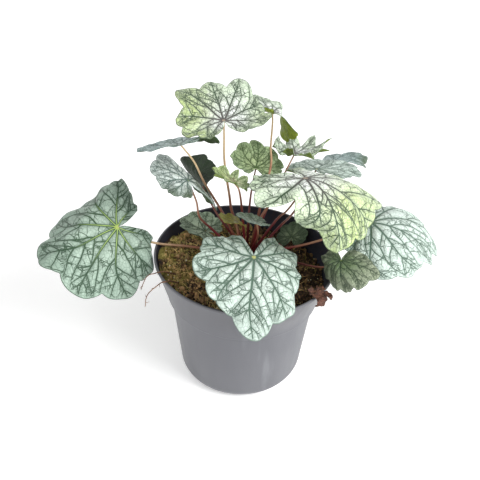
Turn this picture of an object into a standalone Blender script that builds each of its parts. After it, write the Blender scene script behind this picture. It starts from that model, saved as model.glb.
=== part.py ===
"""A heuchera in a round plastic pot.

Metres, +Z up. The origin is the centre of the pot's underside, and the plant's front is -Y.
Each leaf is a blade and a stalk. A blade is a flat lobed outline that is bent by a few curls
and then turned into place, so its row in LEAVES says how the real leaf is held.
"""

import math

import bmesh
import bpy
import numpy as np
from mathutils import Matrix, Vector, noise

MM = 0.001
GAP = 0.3 * MM

# Pot
POT_HEIGHT = 102 * MM
RIM_RADIUS = 62.2 * MM
RIM_BAND = 1.6 * MM
COLLAR_FOOT_RADIUS = 54 * MM
STEP_HEIGHT = 70 * MM
STEP_RADIUS = 51.5 * MM
BASE_RADIUS = 46 * MM
BASE_ROUND = 9 * MM
WALL = 1.2 * MM
FLOOR = 2.0 * MM
POT_SEGMENTS = 64
RIM_OVAL = 3.7 * MM
RIM_OVAL_TURN = math.radians(-22.5)
RIM_SHIFT = Vector((2.6 * MM, 1.0 * MM))
DRAIN_HOLES = 8
DRAIN_RADIUS = 4.5 * MM
DRAIN_RING = 26 * MM
FOOT_HEIGHT = 0.6 * MM
FOOT_RADIUS = 36 * MM
FOOT_SIDES = 12

# Soil
SOIL_HEIGHT = 88 * MM
SOIL_TILT = Vector((-0.07, -0.02))
SOIL_RELIEF = 1.6 * MM
SOIL_HEAP = Vector((-0.054, 0.008, 0.0070))
SOIL_HEAP_SPREAD = 0.026
SOIL_SEGMENTS = 48
SOIL_RINGS = 10
SOIL_GAP = 0.6 * MM
SOIL_FOOT = 6 * MM

# Crown, where the stalks spring from
CROWN = Vector((5, 14, 90)) * MM
CROWN_RADIUS = 9 * MM
CROWN_HOLE_RADIUS = 9.6 * MM

# Blades and stalks
BLADE_THICKNESS = 0.7 * MM
LOBE_ANGLES = (0, 38, 76, 112, 146, 168)
LOBE_NOTCH = 0.10
CLEFT_WIDTH = 0.5
LOBES = (62, 76, 86, 95, 100, 95, 86, 76, 62)
LOBE_STEPS = 4
BLADE_RINGS = (0.4, 0.72, 1)
BASAL_RUN = (0, 0.25, 0.5, 0.75, 1)
BASAL_REACH = (1, 0.95, 0.80, 0.46, 0.13)
STALK_FOOT_RADIUS = 1.3 * MM
STALK_TOP_RADIUS = 0.95 * MM
STALK_POINTS = 9

# The leaves, in millimetres and degrees. at is where the blade meets its stalk, and heading, pitch
# and roll turn the blade. lobes are nine reaches in hundredths of the length, from the right basal
# lobe past the tip to the left one. Each of curls is a direction in the blade (0 the tip, 90 its
# left), a droop and, if it doesn't cover the whole blade, the share of the length it takes and
# where it starts. foot is the stalk's direction and distance from the crown's middle, and stalk
# its bends.
LEAVES = [
    dict(
        name="left_large",
        at=(-88, 12, 120),
        heading=202,
        pitch=-8,
        roll=-32,
        length=58,
        lobes=(42, 76, 82, 100, 103, 97, 90, 72, 46),
        curls=((0, -15), (90, 50), (-90, 25), (180, 85), (-50, 50, 0.2, 0.3)),
        foot=(-132, 7.5),
        stalk=((-32, 13, 100), (-65, 12, 106)),
    ),
    dict(
        name="front_large",
        at=(9, -25, 124),
        heading=-89,
        pitch=-7,
        roll=-4,
        length=57,
        lobes=(49, 67, 75, 77, 105, 86, 64, 63, 50),
        curls=((0, 40), (90, 68), (180, 45), (17, -16, 0.5, 0.4)),
        foot=(-96, 7.5),
        stalk=((8, 0, 97),),
    ),
    dict(
        name="right_top_large",
        at=(43, 4, 169),
        heading=-46,
        pitch=13,
        roll=-17,
        length=64,
        lobes=(53, 63, 84, 93, 100, 99, 107, 80, 64),
        clefts=((-1.5, 0.32),),
        curls=((0, 100), (90, 30), (-90, 20), (180, 15), (-30, 50, 0.2, 0.5)),
        foot=(-22, 5),
        stalk=((12, 12, 120), (20, 10, 141)),
    ),
    dict(
        name="right_large",
        at=(92, 12, 124),
        heading=-20,
        pitch=12,
        roll=0,
        length=55,
        lobes=(52, 52, 84, 96, 106, 125, 118, 84, 64),
        clefts=((-1.5, -0.12),),
        curls=((0, 75), (90, 50), (-90, 60), (180, 70)),
        foot=(4, 7.5),
        stalk=((36, 14, 99), (58, 13, 107)),
    ),
    dict(
        name="lower_right",
        at=(69, -22, 118),
        heading=-102,
        pitch=0,
        roll=9,
        length=28,
        lobes=(52, 67, 78, 88, 97, 98, 103, 70, 52),
        curls=((0, 30), (90, 30), (-90, 40), (-50, 60, 0.25, 0.16)),
        foot=(-20, 7),
        stalk=((38, 4, 94), (50, -5, 98), (60, -14, 105)),
    ),
    dict(
        name="top_large",
        at=(-11, 8, 212),
        heading=103,
        pitch=7,
        roll=-1,
        length=38,
        lobes=(65, 85, 72, 92, 86, 105, 82, 78, 70),
        clefts=((-0.5, 0.14), (0.5, 0.12), (1.5, 0.14)),
        curls=((0, -60), (-90, -25), (180, -55), (5, 50, 0.45, 0.35)),
        foot=(180, 2.5),
        stalk=((-6, 15, 131), (-8, 16, 146), (-11, 15, 174), (-11, 11, 199)),
    ),
    dict(
        name="centre_round",
        at=(11, 44, 149),
        heading=89,
        pitch=-10,
        roll=9,
        length=26,
        lobes=(62, 74, 80, 93, 105, 98, 80, 74, 62),
        curls=((0, -60), (90, -40), (-90, -20), (180, -15), (-25, -35, 0.5, 0.3)),
        foot=(94, 4),
        stalk=((6, 23, 125), (8, 34, 138)),
    ),
    dict(
        name="right_back_a",
        at=(56, 56, 139),
        heading=68,
        pitch=-17,
        roll=-10,
        length=34,
        lobes=(62, 82, 98, 103, 94, 90, 70, 67, 58),
        curls=((0, 5), (-90, 17), (180, -45)),
        foot=(20, 6),
        stalk=((26, 24, 117), (36, 36, 119)),
    ),
    dict(
        name="right_back_b",
        at=(70, 90, 120),
        heading=19,
        pitch=19,
        roll=-28,
        length=34,
        lobes=(45, 40, 46, 92, 105, 97, 86, 76, 62),
        curls=((0, 35), (-90, -35), (180, -30), (-50, 50, 0.4, 0.35)),
        steps=2,
        foot=(-68, 7.5),
        stalk=((28, 24, 110), (38, 40, 109), (53, 66, 113)),
    ),
    dict(
        name="upper_left",
        at=(-41, 20, 186),
        heading=188,
        pitch=-3,
        roll=32,
        length=29,
        lobes=(110, 90, 86, 95, 100, 95, 86, 76, 62),
        curls=((0, 10), (-90, -20), (180, -40), (-20, -45, 0.5, 0.65), (-140, 60, 0.4, 0.5)),
        steps=2,
        foot=(180, 5),
        stalk=((-13, 15, 131), (-25, 17, 155), (-32, 19, 172)),
    ),
    dict(
        name="left_folded",
        at=(-36, 12, 161),
        heading=127,
        pitch=13,
        roll=27,
        length=31,
        lobes=(95, 85, 87, 96, 106, 91, 70, 66, 60),
        curls=((0, 10), (90, 60), (-90, 75), (180, 10)),
        foot=(196, 7.5),
        stalk=((-20, 16, 114), (-29, 12, 129), (-31, 12, 143)),
    ),
    dict(
        name="upper_right_back",
        at=(22, 45, 195),
        heading=111,
        pitch=-12,
        roll=19,
        length=31,
        lobes=(80, 80, 88, 100, 92, 91, 85, 77, 66),
        curls=((0, -15), (90, -40), (-90, 30), (180, -75), (-115, 60, 0.2, 0.1)),
        steps=2,
        foot=(20, 3),
        stalk=((14, 18, 134), (21, 31, 159), (21, 37, 172), (22, 42, 188)),
    ),
    dict(
        name="left_dark",
        at=(-27, 36, 139),
        heading=-151,
        pitch=70,
        roll=4,
        length=24,
        lobes=(66, 88, 126, 118, 102, 96, 84, 74, 60),
        curls=((0, -10), (90, 35), (-5, -80, 0.3, 0.3)),
        steps=2,
        foot=(144, 5),
        stalk=((-13, 19, 119), (-21, 28, 128)),
    ),
    dict(
        name="low_left",
        at=(-26, 27, 104),
        heading=159,
        pitch=10,
        roll=5,
        length=21,
        curls=((0, -13), (90, -50), (-90, -40)),
        steps=2,
        foot=(164, 7.5),
        stalk=((-14, 21, 100),),
    ),
    dict(
        name="young_cupped",
        at=(-4, 0, 168),
        heading=165,
        pitch=19,
        roll=28,
        length=19,
        clefts=((-2.5, 0.3), (-1.5, 0.35), (0.5, 0.2)),
        curls=((0, -10), (90, -25), (-90, -65), (-45, -55, 0.55, 0.35)),
        steps=2,
        foot=(-116, 4),
        stalk=((1, 9, 136), (-1, 3, 159)),
    ),
    dict(
        name="curly_right",
        at=(39, 52, 156),
        heading=16,
        pitch=-5,
        roll=-23,
        length=27,
        lobes=(62, 80, 86, 98, 116, 104, 102, 86, 66),
        clefts=((-1.5, 0.25), (-0.5, 0.3), (0.5, 0.3), (1.5, 0.35), (2.5, 0.3)),
        curls=((0, -30), (90, -50), (180, -60), (-135, -30, 0.6, 0.1)),
        steps=2,
        foot=(62, 5.5),
        stalk=((19, 30, 122), (29, 46, 135)),
    ),
    dict(
        name="small_silver",
        at=(11, -8, 141),
        heading=188,
        pitch=15,
        roll=28,
        length=16,
        curls=((0, -24), (-90, -36), (180, 10)),
        steps=2,
        foot=(-64, 4.5),
        stalk=((12, 3, 119),),
    ),
    dict(
        name="small_yellow",
        at=(-3, 1, 134),
        heading=192,
        pitch=27,
        roll=19,
        length=12.5,
        curls=((0, 40), (90, -25), (-90, -25), (180, 40), (-10, -60, 0.4, 0.45)),
        steps=2,
        foot=(-146, 6),
        stalk=((-2, 6, 118),),
    ),
    dict(
        name="low_dark_right",
        at=(38, 29, 96),
        heading=80,
        pitch=14,
        roll=-8,
        length=15,
        curls=((90, 30), (-90, -25)),
        steps=2,
        foot=(32, 7.5),
        stalk=((26, 21, 97), (33, 25, 89)),
    ),
]

# Dry roots that hang over the rim at the left, in millimetres
ROOT_FIBRES = [
    [(-44, -22, 97), (-50, -26, 102.5), (-56, -30, 103.5), (-64, -37, 100), (-66, -41, 92)],
    [(-46, -14, 98), (-53, -16, 102.1), (-59, -18, 103.1), (-66, -20, 101), (-70, -26, 94)],
]

# Loose dry pieces held like small leaves: one hooked over the rim at the front right, and an old
# sheath that stands beside the stalks on the crown
SCRAPS = [
    dict(
        name="dry_scrap",
        at=(52, -37, 103.7),
        heading=-62,
        pitch=4,
        roll=-8,
        length=15,
        lobes=(30, 34, 42, 62, 100, 66, 45, 38, 30),
        curls=((0, 95, 0.35, 0.42), (90, 25), (-90, -30)),
        steps=2,
    ),
    dict(
        name="crown_sheath",
        at=(4, 6.6, 98.8),
        heading=-98,
        pitch=78,
        roll=0,
        length=11,
        lobes=(26, 28, 33, 45, 100, 45, 33, 28, 26),
        curls=((90, -50), (-90, -50), (0, 25)),
        steps=2,
    ),
]


def clear_scene():
    for obj in list(bpy.data.objects):
        bpy.data.objects.remove(obj, do_unlink=True)


def new_collection(name):
    collection = bpy.data.collections.new(name)
    bpy.context.scene.collection.children.link(collection)
    return collection


def plain_material(name, colour, roughness):
    material = bpy.data.materials.new(name)
    material.use_nodes = True
    shader = material.node_tree.nodes["Principled BSDF"]
    shader.inputs["Base Color"].default_value = (*colour, 1)
    shader.inputs["Roughness"].default_value = roughness
    shader.inputs["Metallic"].default_value = 0
    return material


def add_object(name, data, material, collection):
    obj = bpy.data.objects.new(name, data)
    data.materials.append(material)
    collection.objects.link(obj)
    return obj


def mesh_from(bm, name):
    mesh = bpy.data.meshes.new(name)
    bm.to_mesh(mesh)
    bm.free()
    mesh.shade_smooth()
    return mesh


def turned_mesh(name, profile, segments, shape=None):
    """A closed profile from the axis round to the axis, spun about Z, each point then passed to shape."""
    bm = bmesh.new()
    points = [bm.verts.new((radius, 0, height)) for radius, height in profile]
    edges = [bm.edges.new(pair) for pair in zip(points, points[1:])]
    bmesh.ops.spin(
        bm,
        geom=points + edges,
        cent=(0, 0, 0),
        axis=(0, 0, 1),
        angle=math.tau,
        steps=segments,
        use_merge=True,
    )
    bmesh.ops.remove_doubles(bm, verts=bm.verts, dist=0.00001)
    bmesh.ops.recalc_face_normals(bm, faces=bm.faces)
    for vert in bm.verts:
        vert.co = shape(vert.co) if shape else vert.co
    mesh = mesh_from(bm, name)
    mesh.set_sharp_from_angle(angle=math.radians(40))
    return mesh


def pressed_oval(point):
    """The thin rim is pressed oval and a little to one side. The effect fades away towards the base."""
    amount = max(point.z / POT_HEIGHT, 0) ** 2
    turn = math.atan2(point.y, point.x)
    flat = Vector((point.x, point.y))
    radius = flat.length
    if radius < 1e-6:
        return Vector(point)
    share = min(radius / BASE_RADIUS, 1)
    flat *= 1 + share * amount * RIM_OVAL * math.cos(2 * (turn - RIM_OVAL_TURN)) / radius
    flat += RIM_SHIFT * amount
    return Vector((flat.x, flat.y, point.z))


def arc(centre, radius, start, end, count):
    """Points on an arc in the profile plane, angles in degrees from the outward direction."""
    angles = [math.radians(start + (end - start) * i / count) for i in range(count + 1)]
    return [(centre[0] + radius * math.cos(a), centre[1] + radius * math.sin(a)) for a in angles]


def inner_radius(height):
    """The pot's inside radius at a height, before the rim is pressed oval."""
    if height >= STEP_HEIGHT:
        rise = (height - STEP_HEIGHT) / (POT_HEIGHT - STEP_HEIGHT)
        return COLLAR_FOOT_RADIUS + rise * (RIM_RADIUS - COLLAR_FOOT_RADIUS) - WALL
    rise = height / STEP_HEIGHT
    return BASE_RADIUS + rise * (STEP_RADIUS - BASE_RADIUS) - WALL


def make_pot(collection):
    corner = (BASE_RADIUS - BASE_ROUND, BASE_ROUND + FOOT_HEIGHT)
    inner_corner = (BASE_RADIUS - BASE_ROUND, BASE_ROUND + FLOOR - WALL)
    profile = [(0, FLOOR)]
    profile += arc(inner_corner, BASE_ROUND - WALL, -90, 0, 3)
    profile += [
        (inner_radius(STEP_HEIGHT - 4 * MM), STEP_HEIGHT - 4 * MM),
        (inner_radius(STEP_HEIGHT + 1 * MM), STEP_HEIGHT + 1 * MM),
        (RIM_RADIUS - WALL, POT_HEIGHT - 0.4 * MM),
        (RIM_RADIUS - WALL / 2, POT_HEIGHT),
        (RIM_RADIUS + 0.3 * MM, POT_HEIGHT - 0.3 * MM),
        (RIM_RADIUS + 0.3 * MM, POT_HEIGHT - RIM_BAND),
        (RIM_RADIUS - 0.4 * MM, POT_HEIGHT - RIM_BAND - 0.5 * MM),
        (COLLAR_FOOT_RADIUS, STEP_HEIGHT + 1.5 * MM),
        (COLLAR_FOOT_RADIUS - 0.6 * MM, STEP_HEIGHT),
        (STEP_RADIUS, STEP_HEIGHT - 2 * MM),
    ]
    profile += arc(corner, BASE_ROUND, 0, -90, 4)
    profile += [(0, FOOT_HEIGHT)]
    mesh = turned_mesh("pot", profile, POT_SEGMENTS, pressed_oval)
    material = plain_material("grey plastic", (0.21, 0.22, 0.25), 0.5)
    return add_object("pot", mesh, material, collection)


def make_cutter(name, radius, depth, centre, collection, vertices=12):
    bpy.ops.mesh.primitive_cylinder_add(
        vertices=vertices, radius=radius, depth=depth, location=centre
    )
    cutter = bpy.context.object
    cutter.name = name
    cutter.hide_render = True
    cutter.display_type = "WIRE"
    for owner in cutter.users_collection:
        owner.objects.unlink(cutter)
    collection.objects.link(cutter)
    return cutter


def cut(obj, cutter):
    modifier = obj.modifiers.new(cutter.name, "BOOLEAN")
    modifier.operation = "DIFFERENCE"
    modifier.solver = "EXACT"
    modifier.object = cutter
    modifier.use_hole_tolerant = False


def add_foot(pot, cutters):
    """The low flat plate under the base, on which the pot stands."""
    height = 2 * FOOT_HEIGHT
    foot = make_cutter("foot", FOOT_RADIUS, height, (0, 0, height / 2), cutters, FOOT_SIDES)
    modifier = pot.modifiers.new("foot", "BOOLEAN")
    modifier.operation = "UNION"
    modifier.solver = "EXACT"
    modifier.object = foot


def drill_drain_holes(pot, cutters):
    for number in range(DRAIN_HOLES):
        turn = math.tau * (number + 0.5) / DRAIN_HOLES
        centre = (DRAIN_RING * math.cos(turn), DRAIN_RING * math.sin(turn), FLOOR / 2)
        cut(pot, make_cutter(f"drain_{number}", DRAIN_RADIUS, 4 * FLOOR, centre, cutters, 10))


def soil_height(x, y):
    lumps = noise.noise(Vector((x, y, 0)) * 110) + 0.5 * noise.noise(Vector((x, y, 0.5)) * 260)
    from_heap = (x - SOIL_HEAP.x) ** 2 + (y - SOIL_HEAP.y) ** 2
    heap = SOIL_HEAP.z * math.exp(-from_heap / SOIL_HEAP_SPREAD**2)
    return SOIL_HEIGHT + SOIL_TILT.x * x + SOIL_TILT.y * y + SOIL_RELIEF * lumps + heap


def soil_shape(point):
    """Fits a turned blank to the pot's inside, and raises its top into lumps."""
    if point.z < SOIL_HEIGHT - 1 * MM:
        return pressed_oval(point)
    height = soil_height(point.x, point.y)
    share = (inner_radius(height) - SOIL_GAP) / (inner_radius(SOIL_HEIGHT) - SOIL_GAP)
    return pressed_oval(Vector((point.x * share, point.y * share, height)))


def make_soil(collection, cutters):
    edge = inner_radius(SOIL_HEIGHT) - SOIL_GAP
    rings = [edge * (ring / SOIL_RINGS) ** 0.8 for ring in range(SOIL_RINGS + 1)]
    profile = [(radius, SOIL_HEIGHT) for radius in rings]
    profile += [
        (inner_radius(STEP_HEIGHT + 1 * MM) - SOIL_GAP, STEP_HEIGHT + 1 * MM),
        (inner_radius(STEP_HEIGHT - 4 * MM) - SOIL_GAP, STEP_HEIGHT - 4 * MM),
        (BASE_RADIUS - WALL - SOIL_GAP, BASE_ROUND + FLOOR),
        (BASE_RADIUS - BASE_ROUND, FLOOR + GAP),
        (0, FLOOR + GAP),
    ]
    mesh = turned_mesh("soil", profile, SOIL_SEGMENTS, soil_shape)
    soil = add_object("soil", mesh, plain_material("peat", (0.07, 0.05, 0.03), 0.95), collection)
    depth = 20 * MM
    centre = (CROWN.x, CROWN.y, CROWN.z - CROWN_RADIUS - GAP + depth / 2)
    cut(soil, make_cutter("crown_hole", CROWN_HOLE_RADIUS, depth, centre, cutters, 16))
    return soil


def make_crown(collection):
    """The short woody stock. Its top is ridged by the scars of old stalks."""
    bm = bmesh.new()
    bmesh.ops.create_uvsphere(bm, u_segments=16, v_segments=9, radius=CROWN_RADIUS)
    for vert in bm.verts:
        turn = math.atan2(vert.co.y, vert.co.x)
        ridge = 1 + 0.04 * math.cos(8 * turn + 40 * vert.co.z / CROWN_RADIUS)
        vert.co.x *= ridge * 0.97
        vert.co.y *= ridge * 0.97
        vert.co += CROWN
    material = plain_material("old wood", (0.16, 0.09, 0.05), 0.9)
    return add_object("crown", mesh_from(bm, "crown"), material, collection)


def lobe_outline(lobes, steps, clefts=()):
    """Angle and reach of a margin, with steps points to a lobe.

    The lobe place runs from -4, the right basal lobe, past 0, the tip, to 4, the left basal lobe.
    At -5 and 5 the margin has run in to the sinus, where the stalk joins.
    """
    place = np.linspace(-5, 5, 10 * steps + 1)
    away = np.abs(place)
    angle = np.sign(place) * np.interp(away, range(6), np.radians(LOBE_ANGLES))
    reach = np.array((lobes[0], *lobes, lobes[-1]))
    first = np.clip(np.floor(place + 5), 0, 9).astype(int)
    share = place + 5 - first
    share = share * share * (3 - 2 * share)
    base = reach[first] * (1 - share) + reach[first + 1] * share
    off_centre = 2 * np.abs(place - np.round(place))
    notch = np.where(away < 4, 1 - LOBE_NOTCH * off_centre**3, 1)
    run_in = np.interp(away - 4, BASAL_RUN, BASAL_REACH)
    reach = base * notch * run_in
    for cleft, depth in clefts:
        reach = reach * (1 - depth * np.clip(1 - np.abs(place - cleft) / CLEFT_WIDTH, 0, 1))
    return angle, reach


def curl(points, direction, droop, span, start):
    """Rolls what lies beyond start in one direction of the leaf's plane downwards by droop over span."""
    if not droop:
        return points
    way = np.array((math.cos(direction), math.sin(direction)))
    side = np.array((-way[1], way[0]))
    along = points[:, :2] @ way
    across = points[:, :2] @ side
    height = points[:, 2]
    past = np.clip(along - start, 0, None)
    curve = droop / span
    turned = curve * np.minimum(past, span)
    extra = np.maximum(past - span, 0)
    out = np.sin(turned) / curve + extra * np.cos(turned) + height * np.sin(turned)
    down = -(1 - np.cos(turned)) / curve - extra * np.sin(turned) + height * np.cos(turned)
    beyond = along > start
    along = np.where(beyond, start + out, along)
    height = np.where(beyond, down, height)
    flat = along[:, None] * way + across[:, None] * side
    return np.column_stack((flat, height))


def leaf_turn(leaf):
    """The leaf's own axes in the plant: X runs to the tip, Y to its left side, Z out of its upper face."""
    heading = Matrix.Rotation(math.radians(leaf["heading"]), 3, "Z")
    pitch = Matrix.Rotation(math.radians(-leaf["pitch"]), 3, "Y")
    roll = Matrix.Rotation(math.radians(leaf["roll"]), 3, "X")
    return np.array(heading @ pitch @ roll)


def blade_points(leaf, shares, steps):
    """The blade's middle surface, one row of points for each share of the way out to the margin."""
    length = leaf["length"] * MM
    lobes = [length * lobe / 100 for lobe in leaf.get("lobes", LOBES)]
    angle, reach = lobe_outline(lobes, steps, leaf.get("clefts", ()))
    out = np.outer(shares, reach)
    points = np.stack((out * np.cos(angle), out * np.sin(angle), np.zeros_like(out)), -1)
    points = points.reshape(-1, 3)
    for direction, droop, *extent in leaf["curls"]:
        span, start = extent or (1, 0)
        points = curl(
            points, math.radians(direction), math.radians(droop), span * length, start * length
        )
    points = points @ leaf_turn(leaf).T + np.array(leaf["at"]) * MM
    return points.reshape(len(shares), len(angle), 3)


def blade_mesh(leaf):
    """A grid whose first row is drawn together at the stalk and whose last row is the margin."""
    shares = (0, *leaf.get("rings", BLADE_RINGS))
    steps = leaf.get("steps", LOBE_STEPS)
    points = blade_points(leaf, shares, steps)
    rows, columns = points.shape[:2]
    bm = bmesh.new()
    bmesh.ops.create_grid(bm, x_segments=columns - 1, y_segments=rows - 1, size=1)
    for vert in bm.verts:
        column = round((1 - vert.co.x) / 2 * (columns - 1))
        row = round((1 + vert.co.y) / 2 * (rows - 1))
        vert.co = points[row, column]
    bmesh.ops.remove_doubles(bm, verts=bm.verts, dist=0.000001)
    bmesh.ops.triangulate(bm, faces=bm.faces)
    return mesh_from(bm, leaf["name"])


def make_blade(leaf, name, material, collection):
    obj = add_object(name, blade_mesh(leaf), material, collection)
    shell = obj.modifiers.new("thickness", "SOLIDIFY")
    shell.thickness = BLADE_THICKNESS
    shell.offset = 0
    return obj


def smooth_route(points, count):
    """Evenly numbered points on the smooth curve through the given ones."""
    ends = [2 * points[0] - points[1], *points, 2 * points[-1] - points[-2]]
    route = []
    for number in range(count):
        place = number * (len(points) - 1) / (count - 1)
        first = min(int(place), len(points) - 2)
        share = place - first
        before, start, end, after = ends[first : first + 4]
        route.append(
            0.5
            * (
                2 * start
                + (end - before) * share
                + (2 * before - 5 * start + 4 * end - after) * share**2
                + (3 * start - before - 3 * end + after) * share**3
            )
        )
    return route


def tube_curve(name, route, foot_radius, top_radius, resolution=1):
    curve = bpy.data.curves.new(name, "CURVE")
    curve.dimensions = "3D"
    curve.bevel_depth = 1
    curve.bevel_resolution = resolution
    curve.use_fill_caps = True
    spline = curve.splines.new("POLY")
    spline.points.add(len(route) - 1)
    for number, point in enumerate(route):
        share = number / (len(route) - 1)
        spline.points[number].co = (*point, 1)
        spline.points[number].radius = foot_radius + share * (top_radius - foot_radius)
    return curve


def stalk_route(leaf):
    """From the crown, through the leaf's own bends, to just under the blade.

    Both ends are cut square, so each stands off by more the further it leans.
    """
    turn = math.radians(leaf["foot"][0])
    ring = leaf["foot"][1] * MM
    rise = math.sqrt(CROWN_RADIUS**2 - ring**2)
    out = Vector((ring * math.cos(turn), ring * math.sin(turn), rise)).normalized()
    joint = Vector(leaf["at"]) * MM
    under = -Vector(leaf_turn(leaf)[:, 2])
    bends = [Vector(point) * MM for point in leaf["stalk"]]
    scar = CROWN + out * CROWN_RADIUS
    lean = (bends[0] - scar).normalized().cross(out).length
    foot = scar + out * (GAP + 0.2 * MM + lean * STALK_FOOT_RADIUS)
    lean = (bends[-1] - joint).normalized().cross(under).length
    top = joint + under * (BLADE_THICKNESS / 2 + GAP + lean * STALK_TOP_RADIUS + 0.1 * MM)
    return smooth_route([foot, *bends, top], STALK_POINTS)


def make_stalk(leaf, material, collection):
    name = leaf["name"] + "_stalk"
    curve = tube_curve(name, stalk_route(leaf), STALK_FOOT_RADIUS, STALK_TOP_RADIUS)
    return add_object(name, curve, material, collection)


def make_root_fibre(name, points, material, collection):
    route = smooth_route([Vector(point) * MM for point in points], 8)
    curve = tube_curve(name, route, 0.7 * MM, 0.4 * MM)
    return add_object(name, curve, material, collection)


def main():
    clear_scene()
    plant = new_collection("heuchera_in_pot")
    cutters = new_collection("cutters")
    cutters.hide_render = True
    pot = make_pot(plant)
    add_foot(pot, cutters)
    drill_drain_holes(pot, cutters)
    make_soil(plant, cutters)
    make_crown(plant)
    silver = plain_material("silver blade", (0.62, 0.72, 0.66), 0.6)
    red = plain_material("red stalk", (0.42, 0.15, 0.11), 0.5)
    for leaf in LEAVES:
        make_blade(leaf, leaf["name"] + "_blade", silver, plant)
        make_stalk(leaf, red, plant)
    brown = plain_material("root fibre", (0.25, 0.14, 0.08), 0.9)
    for number, points in enumerate(ROOT_FIBRES):
        make_root_fibre(f"root_fibre_{number + 1}", points, brown, plant)
    for scrap in SCRAPS:
        make_blade(scrap, scrap["name"], brown, plant)


main()
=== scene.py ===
"""Looks for a heuchera in a grey nursery pot.

Metres, +Z up, the plant's front is -Y. Lengths in the leaf tables are millimetres, and angles
degrees. A blade is a flat lobed outline with grown veins, which is puffed between them, bent by
curls and turned into place.
"""

import math

import bmesh
import bpy
import numpy as np
from mathutils import Matrix, Vector, noise


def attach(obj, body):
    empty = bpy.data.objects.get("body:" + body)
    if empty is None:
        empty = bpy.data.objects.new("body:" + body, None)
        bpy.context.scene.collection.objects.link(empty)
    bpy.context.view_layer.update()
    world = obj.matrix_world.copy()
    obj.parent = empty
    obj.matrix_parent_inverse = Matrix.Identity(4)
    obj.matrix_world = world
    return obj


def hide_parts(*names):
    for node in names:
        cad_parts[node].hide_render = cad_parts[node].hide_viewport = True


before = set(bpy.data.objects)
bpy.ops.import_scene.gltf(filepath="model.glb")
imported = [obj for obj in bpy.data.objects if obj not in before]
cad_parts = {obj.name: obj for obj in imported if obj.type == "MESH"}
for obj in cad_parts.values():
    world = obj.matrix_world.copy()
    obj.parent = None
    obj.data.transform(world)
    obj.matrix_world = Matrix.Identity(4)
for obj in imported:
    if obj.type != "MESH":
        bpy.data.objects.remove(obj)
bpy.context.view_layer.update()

MM = 0.001

# Without a seed, vector noise changes from run to run
noise.seed_set(27)

# Pot
POT_HEIGHT = 102 * MM
RIM_RADIUS = 62.2 * MM
RIM_BAND = 1.6 * MM
COLLAR_FOOT_RADIUS = 54 * MM
STEP_HEIGHT = 70 * MM
STEP_RADIUS = 51.5 * MM
BASE_RADIUS = 46 * MM
BASE_ROUND = 9 * MM
WALL = 1.2 * MM
FLOOR = 2.0 * MM
POT_SEGMENTS = 192
RIM_OVAL = 3.7 * MM
RIM_OVAL_TURN = math.radians(-22.5)
RIM_SHIFT = Vector((2.6 * MM, 1.0 * MM))
DRAIN_HOLES = 8
DRAIN_RADIUS = 4.5 * MM
DRAIN_RING = 26 * MM
FOOT_HEIGHT = 0.6 * MM
FOOT_RADIUS = 36 * MM
FOOT_SIDES = 12

SHARP_EDGE = math.radians(50)

# Soil
SOIL_HEIGHT = 88 * MM
SOIL_TILT = Vector((-0.07, -0.02))
SOIL_RELIEF = 1.6 * MM
SOIL_HEAP = Vector((-0.054, 0.008, 0.0070))
SOIL_HEAP_SPREAD = 0.026
SOIL_CRUMB = 0.9 * MM
SOIL_SEGMENTS = 150
SOIL_RINGS = 46
SOIL_GAP = 0.6 * MM
CROWN_DIP = 3.0 * MM
SOIL_SPAN_X = (-66, 64)
SOIL_SPAN_Y = (-62, 62)
SOIL_MIDDLE = 5 * MM
SOIL_EDGE = 1.2 * MM
RIM_SHARE = 0.8
CROWN_CLEAR = 8 * MM
FIBRE_REACH = 54 * MM
CRUMBS = 3000
TUFTS = 1150
SPECKS = 150
FIBRES = 430

# Crown
CROWN = Vector((5, 14, 90)) * MM
CROWN_RADIUS = 9 * MM

# Set
TARGET = Vector((-0.5, 0, 118)) * MM
DISTANCE = 650 * MM
ELEVATION = math.radians(40)
LENS = 69
SENSOR = 36
SKY = 0.62
FLOOR_GLOW = 0.28
LAMP_SIZE = 0.9
LAMP_TARGET = Vector((0, 0, 0.1))
LAMPS = (("key", Vector((0.95, -0.55, 1.0)), 21), ("fill", Vector((-0.7, -0.8, 1.1)), 3))
PURE_WHITE = (1, 1, 1, 1)

# Blades and stalks
BLADE_THICKNESS = 0.45 * MM
BLADE_CELL = 1.05
FIBRE_RADIUS = 0.5 * MM
ROOTLET_RINGS = 60
SCRAP_STEPS = 14
SCRAP_ROWS = 26
SCRAP_THICKNESS = 0.4 * MM
LOBE_ANGLES = (0, 38, 76, 112, 146, 168)
LOBE_NOTCH = 0.10
CLEFT_WIDTH = 0.5
LOBES = (62, 76, 86, 95, 100, 95, 86, 76, 62)
BASAL_RUN = (0, 0.25, 0.5, 0.75, 1)
BASAL_REACH = (1, 0.95, 0.80, 0.46, 0.13)
TOOTH_DEPTH = 0.035
PUFF = 0.020
RUFFLE = 0.018
STALK_FOOT_RADIUS = 1.2 * MM
STALK_TOP_RADIUS = 0.62 * MM
STALK_RINGS = 40
STALK_SIDES = 10

# Veins. SIDE_VEINS says where the side veins leave a main vein. CROSS_VEINS and HAIR_VEINS say how
# far apart the smaller ones leave, how far they reach and their half width, in leaf lengths.
VEIN_END = 0.97
SIDE_VEINS = (0.28, 0.43, 0.58, 0.73, 0.87)
CROSS_VEINS = (0.125, (0.12, 0.34), 0.0050)
HAIR_VEINS = (0.09, (0.05, 0.13), 0.0028)
MAIN_SOFT = 0.35
SIDE_SOFT = 0.28
CROSS_SOFT = 0.20


def tone(red, green, blue):
    """A colour from its everyday 0 to 255 values."""
    parts = [part / 255 for part in (red, green, blue)]
    linear = [p / 12.92 if p <= 0.04045 else ((p + 0.055) / 1.055) ** 2.4 for p in parts]
    return (*linear, 1)


FINISH_TONES = ("inner", "outer", "vein", "vein_outer", "under", "heart", "core")


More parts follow.
